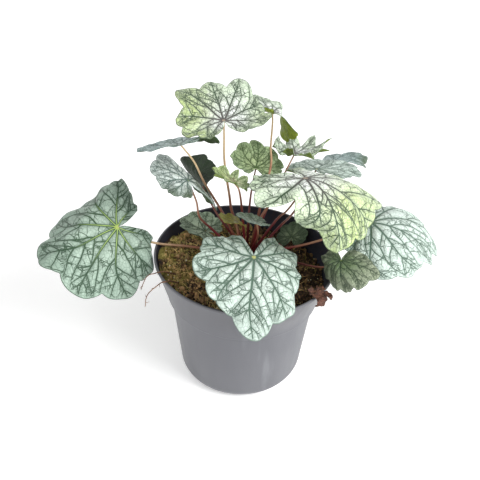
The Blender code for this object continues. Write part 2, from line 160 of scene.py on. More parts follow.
def finish(net, *tones):
    """A leaf's colouring: how plain its finest net is, and its tones in the order of FINISH_TONES.

    They are the pale panels near the stalk and near the margin, the veins near the stalk and near
    the margin, the underside, the spot at the stalk, and in some a glow along the main veins.
    """
    return dict(zip(FINISH_TONES, (tone(*parts) for parts in tones)), net=net)


SILVER = finish(
    0.40, (214, 227, 219), (200, 217, 207), (88, 112, 98), (70, 98, 80), (92, 112, 66),
    (206, 206, 130),
)
# left_large: deep green veins with bright cores. Its panels are greener than silver, and are partly
# painted darker as shade on the leaf
LUSH_IN_SHADE = finish(
    0.45, (176, 196, 180), (158, 180, 164), (52, 84, 46), (40, 72, 46), (70, 92, 50),
    (176, 196, 96), (176, 204, 116),
)
BLUISH = finish(
    0.35, (214, 230, 230), (198, 218, 218), (86, 114, 108), (76, 106, 98), (62, 84, 44),
    (150, 170, 130),
)
WHITE = finish(
    0.6, (247, 250, 249), (218, 234, 208), (84, 80, 78), (44, 72, 44), (120, 140, 52),
    (176, 160, 140),
)
GREEN = finish(
    0.35, (206, 222, 172), (184, 206, 160), (60, 88, 40), (66, 94, 52), (76, 100, 44),
    (76, 100, 44),
)
DARK = finish(
    0.4, (142, 158, 128), (96, 116, 90), (46, 70, 42), (44, 68, 42), (36, 54, 30),
    (120, 134, 80),
)
PALE_BLUE = dict(BLUISH, inner=tone(246, 255, 252), outer=tone(240, 252, 248))
SLATE = dict(BLUISH, inner=tone(188, 206, 204), outer=tone(174, 194, 192))
YOUNG = finish(
    0.4, (214, 218, 184), (190, 206, 160), (132, 96, 84), (84, 108, 60), (120, 140, 62),
    (186, 150, 110),
)
# lower_right: pale grey-green outer lobes, and a dark green heart painted as the shadow of the big
# leaf above it
SHADOWED_HEART = dict(DARK, inner=tone(92, 114, 76), outer=tone(160, 170, 144))
DIM = dict(DARK, inner=tone(200, 216, 190), outer=tone(176, 196, 170))
LIT_UNDER = dict(WHITE, under=tone(140, 158, 44))
YELLOW = finish(
    0.2, (206, 196, 92), (190, 188, 84), (150, 128, 70), (140, 128, 60), (170, 160, 70),
    (210, 190, 90),
)
GLOW = tone(180, 200, 114)

# The foot and the top of a stalk
STRAW = (tone(142, 84, 66), tone(204, 178, 138))
RUST = (tone(104, 34, 38), tone(140, 92, 76))

# at is where a blade hangs, and turn its heading, pitch and roll. lobes are reaches in percent of
# length, from the right basal lobe round to the left one, and clefts cuts between them: a lobe
# place and a depth. Each curl is a direction, a droop, and the span and start as shares of length.
# foot is where the stalk leaves the crown: a direction and a distance from its axis. stalk lists
# its bends. glow is a thin yellow-green part of the blade, and the painted shade a dark green part
# painted where the blade droops or folds under into shade: each a direction, a width, where it
# starts as a share of length and a strength.
LEAVES = [
    dict(
        name="left_large", at=(-88, 12, 120), turn=(202, -8, -32), length=58,
        lobes=(42, 76, 82, 100, 103, 97, 90, 72, 46),
        curls=((0, -15), (90, 50), (-90, 25), (180, 85), (-50, 50, 0.2, 0.3)),
        foot=(-132, 7.5), stalk=((-32, 13, 100), (-65, 12, 106)),
        finish=LUSH_IN_SHADE, stalk_tones=STRAW,
    ),
    dict(
        name="front_large", at=(9, -25, 124), turn=(-89, -7, -4), length=57,
        lobes=(49, 67, 75, 77, 105, 86, 64, 63, 50),
        curls=((0, 40), (90, 68), (180, 45), (17, -16, 0.5, 0.4)),
        foot=(-96, 7.5), stalk=((8, 0, 97),),
        finish=SILVER,
    ),
    dict(
        name="right_top_large", at=(43, 4, 169), turn=(-46, 13, -17), length=64,
        lobes=(53, 63, 84, 93, 100, 99, 107, 80, 64),
        clefts=((-1.5, 0.32),),
        curls=((0, 100), (90, 30), (-90, 20), (180, 15), (-30, 50, 0.2, 0.5)),
        foot=(-22, 5), stalk=((12, 12, 120), (20, 10, 141)),
        finish=WHITE, glow=((22, 62, 0.32, 1.0),),
    ),
    dict(
        name="right_large", at=(92, 12, 124), turn=(-20, 12, 0), length=55,
        lobes=(52, 52, 84, 96, 106, 125, 118, 84, 64),
        clefts=((-1.5, -0.12),), curls=((0, 75), (90, 50), (-90, 60), (180, 70)),
        foot=(4, 7.5), stalk=((36, 14, 99), (58, 13, 107)),
        finish=SILVER,
    ),
    dict(
        name="lower_right", at=(69, -22, 118), turn=(-102, 0, 9), length=28,
        lobes=(52, 67, 78, 88, 97, 98, 103, 70, 52),
        curls=((0, 30), (90, 30), (-90, 40), (-50, 60, 0.25, 0.16)),
        foot=(-20, 7), stalk=((38, 4, 94), (50, -5, 98), (60, -14, 105)),
        finish=SHADOWED_HEART, stalk_tones=RUST,
    ),
    dict(
        name="top_large", at=(-11, 8, 212), turn=(103, 7, -1), length=38,
        lobes=(65, 85, 72, 92, 86, 105, 82, 78, 70),
        clefts=((-0.5, 0.14), (0.5, 0.12), (1.5, 0.14)),
        curls=((0, -60), (-90, -25), (180, -55), (5, 50, 0.45, 0.35)),
        foot=(180, 2.5), stalk=((-6, 15, 131), (-8, 16, 146), (-11, 15, 174), (-11, 11, 199)),
        finish=WHITE, stalk_tones=STRAW,
        glow=((62, 50, 0.25, 1.0), (122, 44, 0.35, 0.9), (170, 40, 0.4, 0.8), (-110, 36, 0.5, 0.6)),
    ),
    dict(
        name="centre_round", at=(11, 44, 149), turn=(89, -10, 9), length=26,
        lobes=(62, 74, 80, 93, 105, 98, 80, 74, 62),
        curls=((0, -60), (90, -40), (-90, -20), (180, -15), (-25, -35, 0.5, 0.3)),
        foot=(94, 4), stalk=((6, 23, 125), (8, 34, 138)),
        finish=GREEN, stalk_tones=RUST,
    ),
    dict(
        name="right_back_a", at=(56, 56, 139), turn=(68, -17, -10), length=34,
        lobes=(62, 82, 98, 103, 94, 90, 70, 67, 58),
        curls=((0, 5), (-90, 17), (180, -45)),
        foot=(20, 6), stalk=((26, 24, 117), (36, 36, 119)),
        finish=SILVER,
    ),
    dict(
        name="right_back_b", at=(70, 90, 120), turn=(19, 19, -28), length=34,
        lobes=(45, 40, 46, 92, 105, 97, 86, 76, 62),
        curls=((0, 35), (-90, -35), (180, -30), (-50, 50, 0.4, 0.35)),
        foot=(-68, 7.5), stalk=((28, 24, 110), (38, 40, 109), (53, 66, 113)),
        finish=SLATE, painted_shade=((-12, 40, 0.72, 1.0),),
    ),
    dict(
        name="upper_left", at=(-41, 20, 186), turn=(188, -3, 32), length=29,
        lobes=(110, 90, 86, 95, 100, 95, 86, 76, 62),
        curls=((0, 10), (-90, -20), (180, -40), (-20, -45, 0.5, 0.65), (-140, 60, 0.4, 0.5)),
        foot=(180, 5), stalk=((-13, 15, 131), (-25, 17, 155), (-32, 19, 172)),
        finish=BLUISH, stalk_tones=STRAW,
    ),
    dict(
        name="left_folded", at=(-36, 12, 161), turn=(127, 13, 27), length=31,
        lobes=(95, 85, 87, 96, 106, 91, 70, 66, 60),
        curls=((0, 10), (90, 60), (-90, 75), (180, 10)),
        foot=(196, 7.5), stalk=((-20, 16, 114), (-29, 12, 129), (-31, 12, 143)),
        finish=PALE_BLUE, painted_shade=((112, 34, 0.50, 1.0), (146, 24, 0.35, 1.0)),
    ),
    dict(
        name="upper_right_back", at=(22, 45, 195), turn=(111, -12, 19), length=31,
        lobes=(80, 80, 88, 100, 92, 91, 85, 77, 66),
        curls=((0, -15), (90, -40), (-90, 30), (180, -75), (-115, 60, 0.2, 0.1)),
        foot=(20, 3), stalk=((14, 18, 134), (21, 31, 159), (21, 37, 172), (22, 42, 188)),
        finish=LIT_UNDER, stalk_tones=STRAW,
    ),
    dict(
        name="left_dark", at=(-27, 36, 139), turn=(-151, 70, 4), length=24,
        lobes=(66, 88, 126, 118, 102, 96, 84, 74, 60),
        curls=((0, -10), (90, 35), (-5, -80, 0.3, 0.3)),
        foot=(144, 5), stalk=((-13, 19, 119), (-21, 28, 128)),
        finish=DARK, stalk_tones=RUST,
    ),
    dict(
        name="low_left", at=(-26, 27, 104), turn=(159, 10, 5), length=21,
        curls=((0, -13), (90, -50), (-90, -40)),
        foot=(164, 7.5), stalk=((-14, 21, 100),),
        finish=DIM, stalk_tones=RUST,
    ),
    dict(
        name="young_cupped", at=(-4, 0, 168), turn=(165, 19, 28), length=19,
        clefts=((-2.5, 0.3), (-1.5, 0.35), (0.5, 0.2)),
        curls=((0, -10), (90, -25), (-90, -65), (-45, -55, 0.55, 0.35)),
        foot=(-116, 4), stalk=((1, 9, 136), (-1, 3, 159)), ruffle=3,
        finish=YOUNG, glow=((0, 60, 0.1, 0.7),),
    ),
    dict(
        name="curly_right", at=(39, 52, 156), turn=(16, -5, -23), length=27,
        lobes=(62, 80, 86, 98, 116, 104, 102, 86, 66),
        clefts=((-1.5, 0.25), (-0.5, 0.3), (0.5, 0.3), (1.5, 0.35), (2.5, 0.3)),
        curls=((0, -30), (90, -50), (180, -60), (-135, -30, 0.6, 0.1)),
        foot=(62, 5.5), stalk=((19, 30, 122), (29, 46, 135)), ruffle=4,
        finish=WHITE, glow=((-100, 50, 0.3, 0.6),),
    ),
    dict(
        name="small_silver", at=(11, -8, 141), turn=(188, 15, 28), length=16,
        curls=((0, -24), (-90, -36), (180, 10)),
        foot=(-64, 4.5), stalk=((12, 3, 119),),
        finish=SILVER,
    ),
    dict(
        name="small_yellow", at=(-3, 1, 134), turn=(192, 27, 19), length=12.5,
        curls=((0, 40), (90, -25), (-90, -25), (180, 40), (-10, -60, 0.4, 0.45)),
        foot=(-146, 6), stalk=((-2, 6, 118),),
        finish=YELLOW,
    ),
    dict(
        name="low_dark_right", at=(38, 29, 96), turn=(80, 14, -8), length=15,
        curls=((90, 30), (-90, -25)),
        foot=(32, 7.5), stalk=((26, 21, 97), (33, 25, 89)),
        finish=DARK, stalk_tones=RUST,
    ),
]

ROOT_FIBRES = [
    [(-44, -22, 97), (-50, -26, 102.5), (-56, -30, 103.5), (-64, -37, 100), (-66, -41, 92)],
    [(-46, -14, 98), (-53, -16, 102.1), (-59, -18, 103.1), (-66, -20, 101), (-70, -26, 94)],
]

SCRAPS = [
    dict(
        name="dry_scrap", at=(52, -37, 103.7), turn=(-62, 4, -8), length=15,
        lobes=(30, 34, 42, 62, 100, 66, 45, 38, 30),
        curls=((0, 95, 0.35, 0.42), (90, 25), (-90, -30)),
    ),
    dict(
        name="crown_sheath", at=(4, 6.6, 98.8), turn=(-98, 78, 0), length=11,
        lobes=(26, 28, 33, 45, 100, 45, 33, 28, 26),
        curls=((90, -50), (-90, -50), (0, 25)),
    ),
]


def new_material(name, roughness):
    material = bpy.data.materials.new(name)
    material.use_nodes = True
    shader = material.node_tree.nodes["Principled BSDF"]
    shader.inputs["Roughness"].default_value = roughness
    return material, material.node_tree, shader


def put(tree, kind, *values, **settings):
    """A node with its first sockets filled, each by a value, a socket, or None to skip it."""
    made = tree.nodes.new("ShaderNode" + kind)
    for key, value in settings.items():
        setattr(made, key, value)
    for socket, value in zip(made.inputs, values):
        if value is None:
            continue
        if isinstance(value, bpy.types.NodeSocket):
            tree.links.new(value, socket)
        else:
            socket.default_value = value
    return made.outputs[0]


def mixed(tree, share, first, second):
    """Two colours mixed by a share."""
    made = tree.nodes.new("ShaderNodeMix")
    made.data_type = "RGBA"
    for place, value in ((0, share), (6, first), (7, second)):
        if isinstance(value, bpy.types.NodeSocket):
            tree.links.new(value, made.inputs[place])
        else:
            made.inputs[place].default_value = value
    return made.outputs[2]


def sums(tree, operation, first, second=0.0):
    return put(tree, "Math", first, second, operation=operation)


def times(tree, first, second):
    return sums(tree, "MULTIPLY", first, second)


def ranged(tree, value, low, high, start=0.0, end=1.0):
    """The value eased from start to end between low and high."""
    return put(tree, "MapRange", value, low, high, start, end, interpolation_type="SMOOTHSTEP")


def eased(tree, value, low, high, first, second, most=1.0):
    """The first colour, giving way to the second as the value goes from low to high."""
    return mixed(tree, ranged(tree, value, low, high, 0.0, most), first, second)


def object_place(tree):
    return tree.nodes.new("ShaderNodeTexCoord").outputs["Object"]


def grain(tree, place, scale, detail=4.0, rough=0.5):
    """Noise from 0 to 1 at a scale per metre."""
    made = tree.nodes.new("ShaderNodeTexNoise")
    tree.links.new(place, made.inputs["Vector"])
    made.inputs["Scale"].default_value = scale
    made.inputs["Detail"].default_value = detail
    made.inputs["Roughness"].default_value = rough
    return made.outputs[0]


def attribute(tree, name, output="Fac"):
    made = tree.nodes.new("ShaderNodeAttribute")
    made.attribute_name = name
    return made.outputs[output]


def paint(tree, shader, colour, height, depth):
    """Gives the shader its colour, and a relief of the given depth."""
    tree.links.new(colour, shader.inputs["Base Color"])
    made = tree.nodes.new("ShaderNodeBump")
    made.inputs["Strength"].default_value = 1
    made.inputs["Distance"].default_value = depth
    tree.links.new(height, made.inputs["Height"])
    tree.links.new(made.outputs[0], shader.inputs["Normal"])


def placed(name, data):
    made = bpy.data.objects.new(name, data)
    bpy.context.scene.collection.objects.link(made)
    return made


def add_piece(name, mesh, materials, slot, *nodes):
    """A finished piece on the plant's one body, standing for the named CAD nodes."""
    piece = placed(name, mesh)
    for material in materials:
        mesh.materials.append(material)
    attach(piece, "root")
    if nodes:
        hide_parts(*nodes)
    return piece


def mesh_from(bm, name):
    mesh = bpy.data.meshes.new(name)
    bm.to_mesh(mesh)
    bm.free()
    mesh.shade_smooth()
    return mesh


def give(mesh, name, kind, values):
    """A point attribute from an array."""
    made = mesh.attributes.new(name, kind, "POINT")
    field = "vector" if kind == "FLOAT_VECTOR" else "value"
    made.data.foreach_set(field, np.asarray(values, np.float32).ravel())


# Blade outline and curls


def lobe_outline(lobes, steps, clefts=()):
    """Angle, reach and lobe place of a margin, with steps points to a lobe.

    The lobe place runs from -4, the right basal lobe, past 0, the tip, to 4, the left basal lobe.
    At -5 and 5 the margin has run in to the sinus, where the stalk joins.
    """
    place = np.linspace(-5, 5, 10 * steps + 1)
    away = np.abs(place)
    angle = np.sign(place) * np.interp(away, range(6), np.radians(LOBE_ANGLES))
    reach = np.array((lobes[0], *lobes, lobes[-1]))
    first = np.clip(np.floor(place + 5), 0, 9).astype(int)
    share = place + 5 - first
    share = share * share * (3 - 2 * share)
    base = reach[first] * (1 - share) + reach[first + 1] * share
    off_centre = 2 * np.abs(place - np.round(place))
    notch = np.where(away < 4, 1 - LOBE_NOTCH * off_centre**3, 1)
    run_in = np.interp(away - 4, BASAL_RUN, BASAL_REACH)
    reach = base * notch * run_in
    for cleft, depth in clefts:
        reach = reach * (1 - depth * np.clip(1 - np.abs(place - cleft) / CLEFT_WIDTH, 0, 1))
    return angle, reach, place


def toothed(reach, place, rng):
    """Three small rounded teeth to a lobe, of uneven size, fading towards the sinus."""
    start = rng.uniform(0, math.tau)
    drift = 0.30 * np.sin(2.3 * place + start) + 0.15 * np.sin(5.1 * place + 2 * start)
    tooth = np.abs(np.sin(math.pi * 1.5 * (place + drift) + start)) ** 0.7
    size = 0.6 + 0.4 * np.sin(3.7 * place + 3 * start)
    fade = np.clip((4.7 - np.abs(place)) / 0.6, 0, 1)
    return reach * (1 + TOOTH_DEPTH * size * fade * (tooth - 0.7))


def curl(points, direction, droop, span, start):
    """Rolls what lies beyond start, in one direction of the blade, down by droop over span."""
    if not droop:
        return points
    way = np.array((math.cos(direction), math.sin(direction)))
    side = np.array((-way[1], way[0]))
    along = points[:, :2] @ way
    across = points[:, :2] @ side
    height = points[:, 2]
    past = np.clip(along - start, 0, None)
    curve = droop / span
    turned = curve * np.minimum(past, span)
    extra = np.maximum(past - span, 0)
    out = np.sin(turned) / curve + extra * np.cos(turned) + height * np.sin(turned)
    down = -(1 - np.cos(turned)) / curve - extra * np.sin(turned) + height * np.cos(turned)
    beyond = along > start
    along = np.where(beyond, start + out, along)
    height = np.where(beyond, down, height)
    flat = along[:, None] * way + across[:, None] * side
    return np.column_stack((flat, height))


def leaf_turn(leaf):
    """The leaf's own axes: X runs to the tip, Y to its left side, Z out of its upper face."""
    heading, pitch, roll = (math.radians(part) for part in leaf["turn"])
    swung = Matrix.Rotation(heading, 3, "Z") @ Matrix.Rotation(-pitch, 3, "Y")
    return np.array(swung @ Matrix.Rotation(roll, 3, "X"))


def held(leaf, points):
    """Points of the flat blade, in millimetres, curled and turned into the plant, in metres."""
    length = leaf["length"]
    for direction, droop, *extent in leaf["curls"]:
        span, start = extent or (1, 0)
        points = curl(
            points, math.radians(direction), math.radians(droop), span * length, start * length
        )
    return (points @ leaf_turn(leaf).T + np.array(leaf["at"])) * MM


# Veins, grown in the flat blade. A vein is its points and its half width at each.


def grown(start, heading, pull, ease, span, step, reach_at, rng, others, wander):
    """A vein that eases towards the outward direction plus pull, and ends where it meets another."""
    points = [np.array(start)]
    for count in range(int(span / step)):
        here = points[-1]
        outward = math.atan2(here[1], here[0])
        miss = (outward + pull - heading + math.pi) % math.tau - math.pi
        heading += ease * miss + rng.normal(0, wander)
        there = here + step * np.array((math.cos(heading), math.sin(heading)))
        if np.hypot(*there) > VEIN_END * reach_at(there):
            break
        points.append(there)
        if count > 3 and np.hypot(*(others - there).T).min() < 0.8 * step:
            break
    return np.array(points)


def main_veins(length, reach_at, rng):
    """One vein to each lobe, slightly bowed."""
    veins = []
    share = np.linspace(0, 1, 90)
    for place in range(-4, 5):
        aim = math.copysign(math.radians(LOBE_ANGLES[abs(place)]), place)
        aim += rng.normal(0, 0.04)
        tip = VEIN_END * reach_at((math.cos(aim), math.sin(aim)))
        bow = rng.normal(0, 0.07) * np.sin(math.pi * share)
        waver = 0.018 * np.sin(9 * share + rng.uniform(0, 6)) * share
        turn = aim * (1 - 0.14 * (1 - share) ** 2) + bow + waver
        points = (share * tip * np.array((np.cos(turn), np.sin(turn)))).T
        width = length * (0.0115 * (1 - share) ** 0.8 + 0.0045)
        veins.append((points, width * (1, 1, 1, 0.85, 0.7)[abs(place)]))
    return veins


def side_veins(mains, length, reach_at, rng):
    """Strong branches that leave the main veins on alternate sides, the tip's in pairs."""
    veins = []
    step = 0.014 * length
    known = np.concatenate([points for points, _ in mains])
    for order, share in enumerate(SIDE_VEINS):
        for number, (points, _) in enumerate(mains):
            place = number - 4
            at_share = share + rng.uniform(-0.05, 0.05)
            sides = (1, -1) if place == 0 else ((1, -1)[(order + number) % 2],)
            if share > 0.7:
                sides = (1, -1)
            if abs(place) == 4 and share < 0.45:
                sides = (int(math.copysign(1, place)),)
            at = int(at_share * (len(points) - 2))
            tangent = points[at + 1] - points[at]
            heading = math.atan2(tangent[1], tangent[0])
            for way in sides:
                lean = math.radians(rng.uniform(36, 54))
                vein = grown(
                    points[at], heading + way * lean, way * 0.35, 0.035,
                    1.2 * length, step, reach_at, rng, known, 0.07,
                )
                if len(vein) > 4:
                    run = np.linspace(0, 1, len(vein))
                    strong = 0.0092 - 0.0058 * share
                    veins.append((vein, length * (strong * (1 - run) ** 0.7 + 0.0026)))
                    known = np.concatenate((known, vein))
    return veins


def branch_veins(parents, known, length, every, span, width, reach_at, rng):
    """Smaller branches along every larger vein, which join up into a net of uneven cells."""
    veins = []
    step = 0.013 * length
    for points, _ in parents:
        pace = np.hypot(*(points[1] - points[0]))
        stride = max(1, round(every * length / pace))
        side = rng.choice((-1, 1))
        first = int(stride * rng.uniform(0.5, 1))
        for at in range(first, len(points) - 1, stride):
            side = -side
            tangent = points[at + 1] - points[at]
            heading = math.atan2(tangent[1], tangent[0]) + side * math.radians(rng.uniform(52, 84))
            reach = length * rng.uniform(*span)
            vein = grown(
                points[at], heading, side * 0.6, 0.02, reach, step, reach_at, rng, known, 0.17
            )
            if len(vein) > 3:
                run = np.linspace(0, 1, len(vein))
                veins.append((vein, length * width * (1 - 0.45 * run)))
                known = np.concatenate((known, vein))
    return veins, known


def vein_field(places, veins):
    """For each place: the signed distance to the nearest vein, the distance, and its half width."""
    start = np.concatenate([points[:-1] for points, _ in veins]).astype(np.float32)
    end = np.concatenate([points[1:] for points, _ in veins]).astype(np.float32)
    half = np.concatenate([width[:-1] for _, width in veins]).astype(np.float32)
    way = end - start
    size = (way**2).sum(1) + 1e-9
    field = np.empty((len(places), 3), np.float32)
    for first in range(0, len(places), 1500):
        here = places[first : first + 1500].astype(np.float32)
        gap_x = here[:, 0, None] - start[:, 0]
        gap_y = here[:, 1, None] - start[:, 1]
        along = np.clip((gap_x * way[:, 0] + gap_y * way[:, 1]) / size, 0, 1)
        gap_x -= along * way[:, 0]
        gap_y -= along * way[:, 1]
        square = gap_x**2 + gap_y**2
        near = square.argmin(1)
        row = np.arange(len(here))
        distance = np.sqrt(square[row, near])
        turn = way[near, 0] * gap_y[row, near] - way[near, 1] * gap_x[row, near]
        field[first : first + 1500, 0] = np.where(turn < 0, -distance, distance)
        field[first : first + 1500, 1] = distance
        field[first : first + 1500, 2] = half[near]
    return field


def grid_mesh(name, points, rows, columns):
    """A grid with the given points, row by row, and the order in which its vertices take them."""
    bm = bmesh.new()
    bmesh.ops.create_grid(bm, x_segments=columns - 1, y_segments=rows - 1, size=1)
    mesh = mesh_from(bm, name)
    grid = np.empty(3 * len(mesh.vertices))
    mesh.vertices.foreach_get("co", grid)
    grid = grid.reshape(-1, 3)
    column = np.round((1 - grid[:, 0]) / 2 * (columns - 1)).astype(int)
    row = np.round((1 + grid[:, 1]) / 2 * (rows - 1)).astype(int)
    order = row * columns + column
    mesh.vertices.foreach_set("co", points[order].ravel())
    return mesh, order


def drop_doubles(mesh):
    """Draws the grid's first row together into one point."""
    bm = bmesh.new()
    bm.from_mesh(mesh)
    bmesh.ops.remove_doubles(bm, verts=bm.verts, dist=0.000001)
    bm.to_mesh(mesh)
    bm.free()
    mesh.shade_smooth()


def blade_mesh(leaf, rng):
    """A fine grid in rows from the stalk out to the margin, with its veins as point attributes."""
    length = leaf["length"]
    steps = max(10, round(0.64 * length / BLADE_CELL))
    rows = max(14, round(0.9 * length / BLADE_CELL)) + 1
    lobes = [length * lobe / 100 for lobe in leaf.get("lobes", LOBES)]
    angle, reach, place = lobe_outline(lobes, steps, leaf.get("clefts", ()))

    def reach_at(point):
        return float(np.interp(math.atan2(point[1], point[0]), angle, reach))

    mains = main_veins(length, reach_at, rng)
    sides = side_veins(mains, length, reach_at, rng)
    known = np.concatenate([points for points, _ in mains + sides])
    crosses, known = branch_veins(mains + sides, known, length, *CROSS_VEINS, reach_at, rng)
    hairs, _ = branch_veins(crosses, known, length, *HAIR_VEINS, reach_at, rng)
    edge = toothed(reach, place, rng)
    shares = np.linspace(0, 1, rows) ** 0.92
    flat = fanned(angle, edge, shares)
    main_field = vein_field(flat, mains)
    side_field = vein_field(flat, sides)
    cross_field = vein_field(flat, crosses + hairs)

    share = np.repeat(shares, len(angle))
    where = np.tile(place, rows)
    nearest = np.minimum(main_field[:, 1], 1.25 * side_field[:, 1])
    puff = PUFF * length * (1 - np.exp(-((nearest / (0.06 * length)) ** 2)))
    puff *= (1 - share**6) * np.clip(share * 5, 0, 1)
    puff -= 0.0022 * length * np.exp(-((cross_field[:, 1] / (0.010 * length)) ** 2))
    start = rng.uniform(0, math.tau)
    wave = np.sin(math.tau * 0.93 * where + start) + 0.5 * np.sin(math.tau * 2.1 * where + 2 * start)
    height = puff + leaf.get("ruffle", 1) * RUFFLE * length * share**3 * wave
    points = held(leaf, np.column_stack((flat, height)))

    mesh, order = grid_mesh(leaf["name"], points, rows, len(angle))
    fields = {"main_vein": main_field, "side_vein": side_field, "cross_vein": cross_field}
    for name, field in fields.items():
        give(mesh, name, "FLOAT_VECTOR", field[order])
    give(mesh, "outward", "FLOAT", share[order])
    give(mesh, "margin_gap", "FLOAT", ((1 - share) * np.tile(edge, rows))[order])
    # The glow, and the painted shade where the blade droops or folds under, as point attributes
    for name in ("glow", "painted_shade"):
        give(mesh, name, "FLOAT", part_of(leaf, name, flat)[order])
    sheet = mesh.uv_layers.new(name="flat")
    corner = np.empty(len(mesh.loops), int)
    mesh.loops.foreach_get("vertex_index", corner)
    sheet.data.foreach_set("uv", (flat[order][corner] / 100 + 0.5).ravel())

    drop_doubles(mesh)
    return mesh


def fanned(angle, edge, shares):
    """Flat points in rows, each row a share of the way from the stalk out to the edge."""
    out = np.outer(shares, edge)
    return np.stack((out * np.cos(angle), out * np.sin(angle)), -1).reshape(-1, 2)


def thickened(piece, thickness, **settings):
    shell = piece.modifiers.new("thickness", "SOLIDIFY")
    shell.thickness = thickness
    shell.offset = 0
    for key, value in settings.items():
        setattr(shell, key, value)


def part_of(leaf, key, flat):
    """How far each place lies in the parts of the blade that the key lists, from 0 to 1."""
    total = np.zeros(len(flat))
    turn = np.degrees(np.arctan2(flat[:, 1], flat[:, 0]))
    out = np.hypot(flat[:, 0], flat[:, 1]) / leaf["length"]
    for direction, width, start, strength in leaf.get(key, ()):
        miss = (turn - direction + 180) % 360 - 180
        across = np.exp(-((miss / width) ** 2))
        along = np.clip((out - start) / 0.35 + 0.5, 0, 1)
        total = np.maximum(total, strength * across * along)
    return total


# Materials


def vein_line(tree, name, soft):
    """How dark a family of veins is here. The signed distance crosses nought on the vein itself."""
    parts = put(tree, "SeparateXYZ", attribute(tree, name, "Vector")).node
    signed, distance, half = parts.outputs
    inside = sums(tree, "SUBTRACT", sums(tree, "ABSOLUTE", signed), half)
    line = ranged(tree, inside, soft, -soft)
    near = ranged(tree, sums(tree, "SUBTRACT", distance, half), 1.1, 0.7)
    return times(tree, line, near), distance


def fine_net(tree, place, size):
    """The smallest veins: the uneven cells' own edges."""
    blur = grain(tree, place, 40, 2).node.outputs["Color"]
    small = put(tree, "VectorMath", blur, (0.022, 0.022, 0.022), operation="MULTIPLY")
    moved = put(tree, "VectorMath", place, small, operation="ADD")
    net = tree.nodes.new("ShaderNodeTexVoronoi")
    net.feature = "DISTANCE_TO_EDGE"
    net.voronoi_dimensions = "2D"
    net.inputs["Scale"].default_value = 38 / size**0.5
    net.inputs["Randomness"].default_value = 0.95
    tree.links.new(moved, net.inputs["Vector"])
    return ranged(tree, net.outputs["Distance"], 0.13, 0.02)


def leaf_material(leaf, upper):
    look = leaf["finish"]
    side = "upper" if upper else "under"
    material, tree, shader = new_material(f"{leaf['name']} {side} side", 0.5 if upper else 0.6)
    size = leaf["length"] / 60
    main, main_gap = vein_line(tree, "main_vein", MAIN_SOFT * size**0.5)
    side_line, side_gap = vein_line(tree, "side_vein", SIDE_SOFT * size**0.5)
    cross, _ = vein_line(tree, "cross_vein", CROSS_SOFT * size**0.5)
    place = put(tree, "UVMap", uv_map="flat")
    outward = attribute(tree, "outward")
    gap = attribute(tree, "margin_gap")
    wander = grain(tree, place, 9, 5)
    mottle = grain(tree, place, 34, 6, 0.62)
    thread = fine_net(tree, place, size)

    near_main = ranged(tree, main_gap, 4.2 * size, 0.3)
    near_side = ranged(tree, side_gap, 2.4 * size, 0.2)
    shade = sums(tree, "MAXIMUM", near_main, times(tree, near_side, 0.8))
    threads = times(tree, thread, ranged(tree, mottle, 0.25, 0.75, 0.4, 1.0))
    dark = sums(tree, "MAXIMUM", main, times(tree, side_line, 0.95))
    dark = sums(tree, "MAXIMUM", dark, times(tree, cross, 0.92))
    rim = ranged(tree, gap, 1.0 * size, 0.2)

    if upper:
        panel = eased(tree, outward, 0.15, 0.95, look["inner"], look["outer"])
        panel = mixed(tree, times(tree, attribute(tree, "glow"), 0.8), panel, GLOW)
        deep = mixed(tree, 0.55, look["outer"], look["vein_outer"])
        panel = mixed(tree, times(tree, shade, 0.62), panel, deep)
        panel = eased(tree, wander, 0.45, 0.72, panel, deep, 0.35)
        bright = tuple(min(1, 1.2 * part) for part in look["inner"])
        panel = eased(tree, mottle, 0.5, 0.8, panel, bright, 0.6)
        line = eased(tree, outward, 0.1, 0.7, look["vein"], look["vein_outer"])
        colour = mixed(tree, times(tree, threads, look["net"]), panel, line)
        colour = mixed(tree, dark, colour, line)
        colour = mixed(tree, times(tree, rim, 0.75), colour, line)
        # Painted shade: where the blade droops or folds under, the upper face is darkened towards
        # the underside's green
        if "painted_shade" in leaf:
            painted_shade_share = times(tree, attribute(tree, "painted_shade"), 0.85)
            colour = mixed(tree, painted_shade_share, colour, look["under"])
        if "core" in look:
            thin = ranged(tree, main_gap, 0.50 * size, 0.05)
            fade = times(tree, thin, ranged(tree, outward, 0.62, 0.12))
            colour = mixed(tree, fade, colour, look["core"])
        colour = eased(tree, outward, 0.05, 0.02, colour, look["heart"], 0.85)
    else:
        body = look["under"]
        pale = tuple(min(1, 1.7 * part) for part in body)
        dull = tuple(0.7 * part for part in body)
        colour = eased(tree, wander, 0.35, 0.7, body, dull)
        colour = mixed(tree, times(tree, attribute(tree, "glow"), 0.6), colour, GLOW)
        colour = mixed(tree, times(tree, threads, 0.25), colour, dull)
        colour = mixed(tree, times(tree, dark, 0.6), colour, pale)
    sunk = times(tree, threads, -0.4)
    sunk = sums(tree, "SUBTRACT", sunk, times(tree, dark, 0.9 if upper else -0.9))
    paint(tree, shader, colour, sums(tree, "ADD", sunk, times(tree, mottle, 0.6)), 0.45 * MM)
    return material


def stalk_material(leaf):
    """Red at the foot, easing to tan near the blade, with darker lengthwise flecks."""
    material, tree, shader = new_material(leaf["name"] + " stalk skin", 0.42)
    along = attribute(tree, "along")
    place = object_place(tree)
    fleck = grain(tree, place, 900, 3)
    blotch = grain(tree, place, 160, 3)
    foot, top = leaf.get("stalk_tones", (tone(124, 40, 44), tone(176, 132, 104)))
    turn = sums(tree, "ADD", along, times(tree, blotch, 0.3))
    colour = eased(tree, turn, 0.35, 0.95, foot, top)
    dull = tuple(0.6 * part for part in foot)
    colour = eased(tree, fleck, 0.5, 0.8, colour, dull, 0.45)
    paint(tree, shader, colour, fleck, 0.08 * MM)
    return material


# Stalks and other round lengths


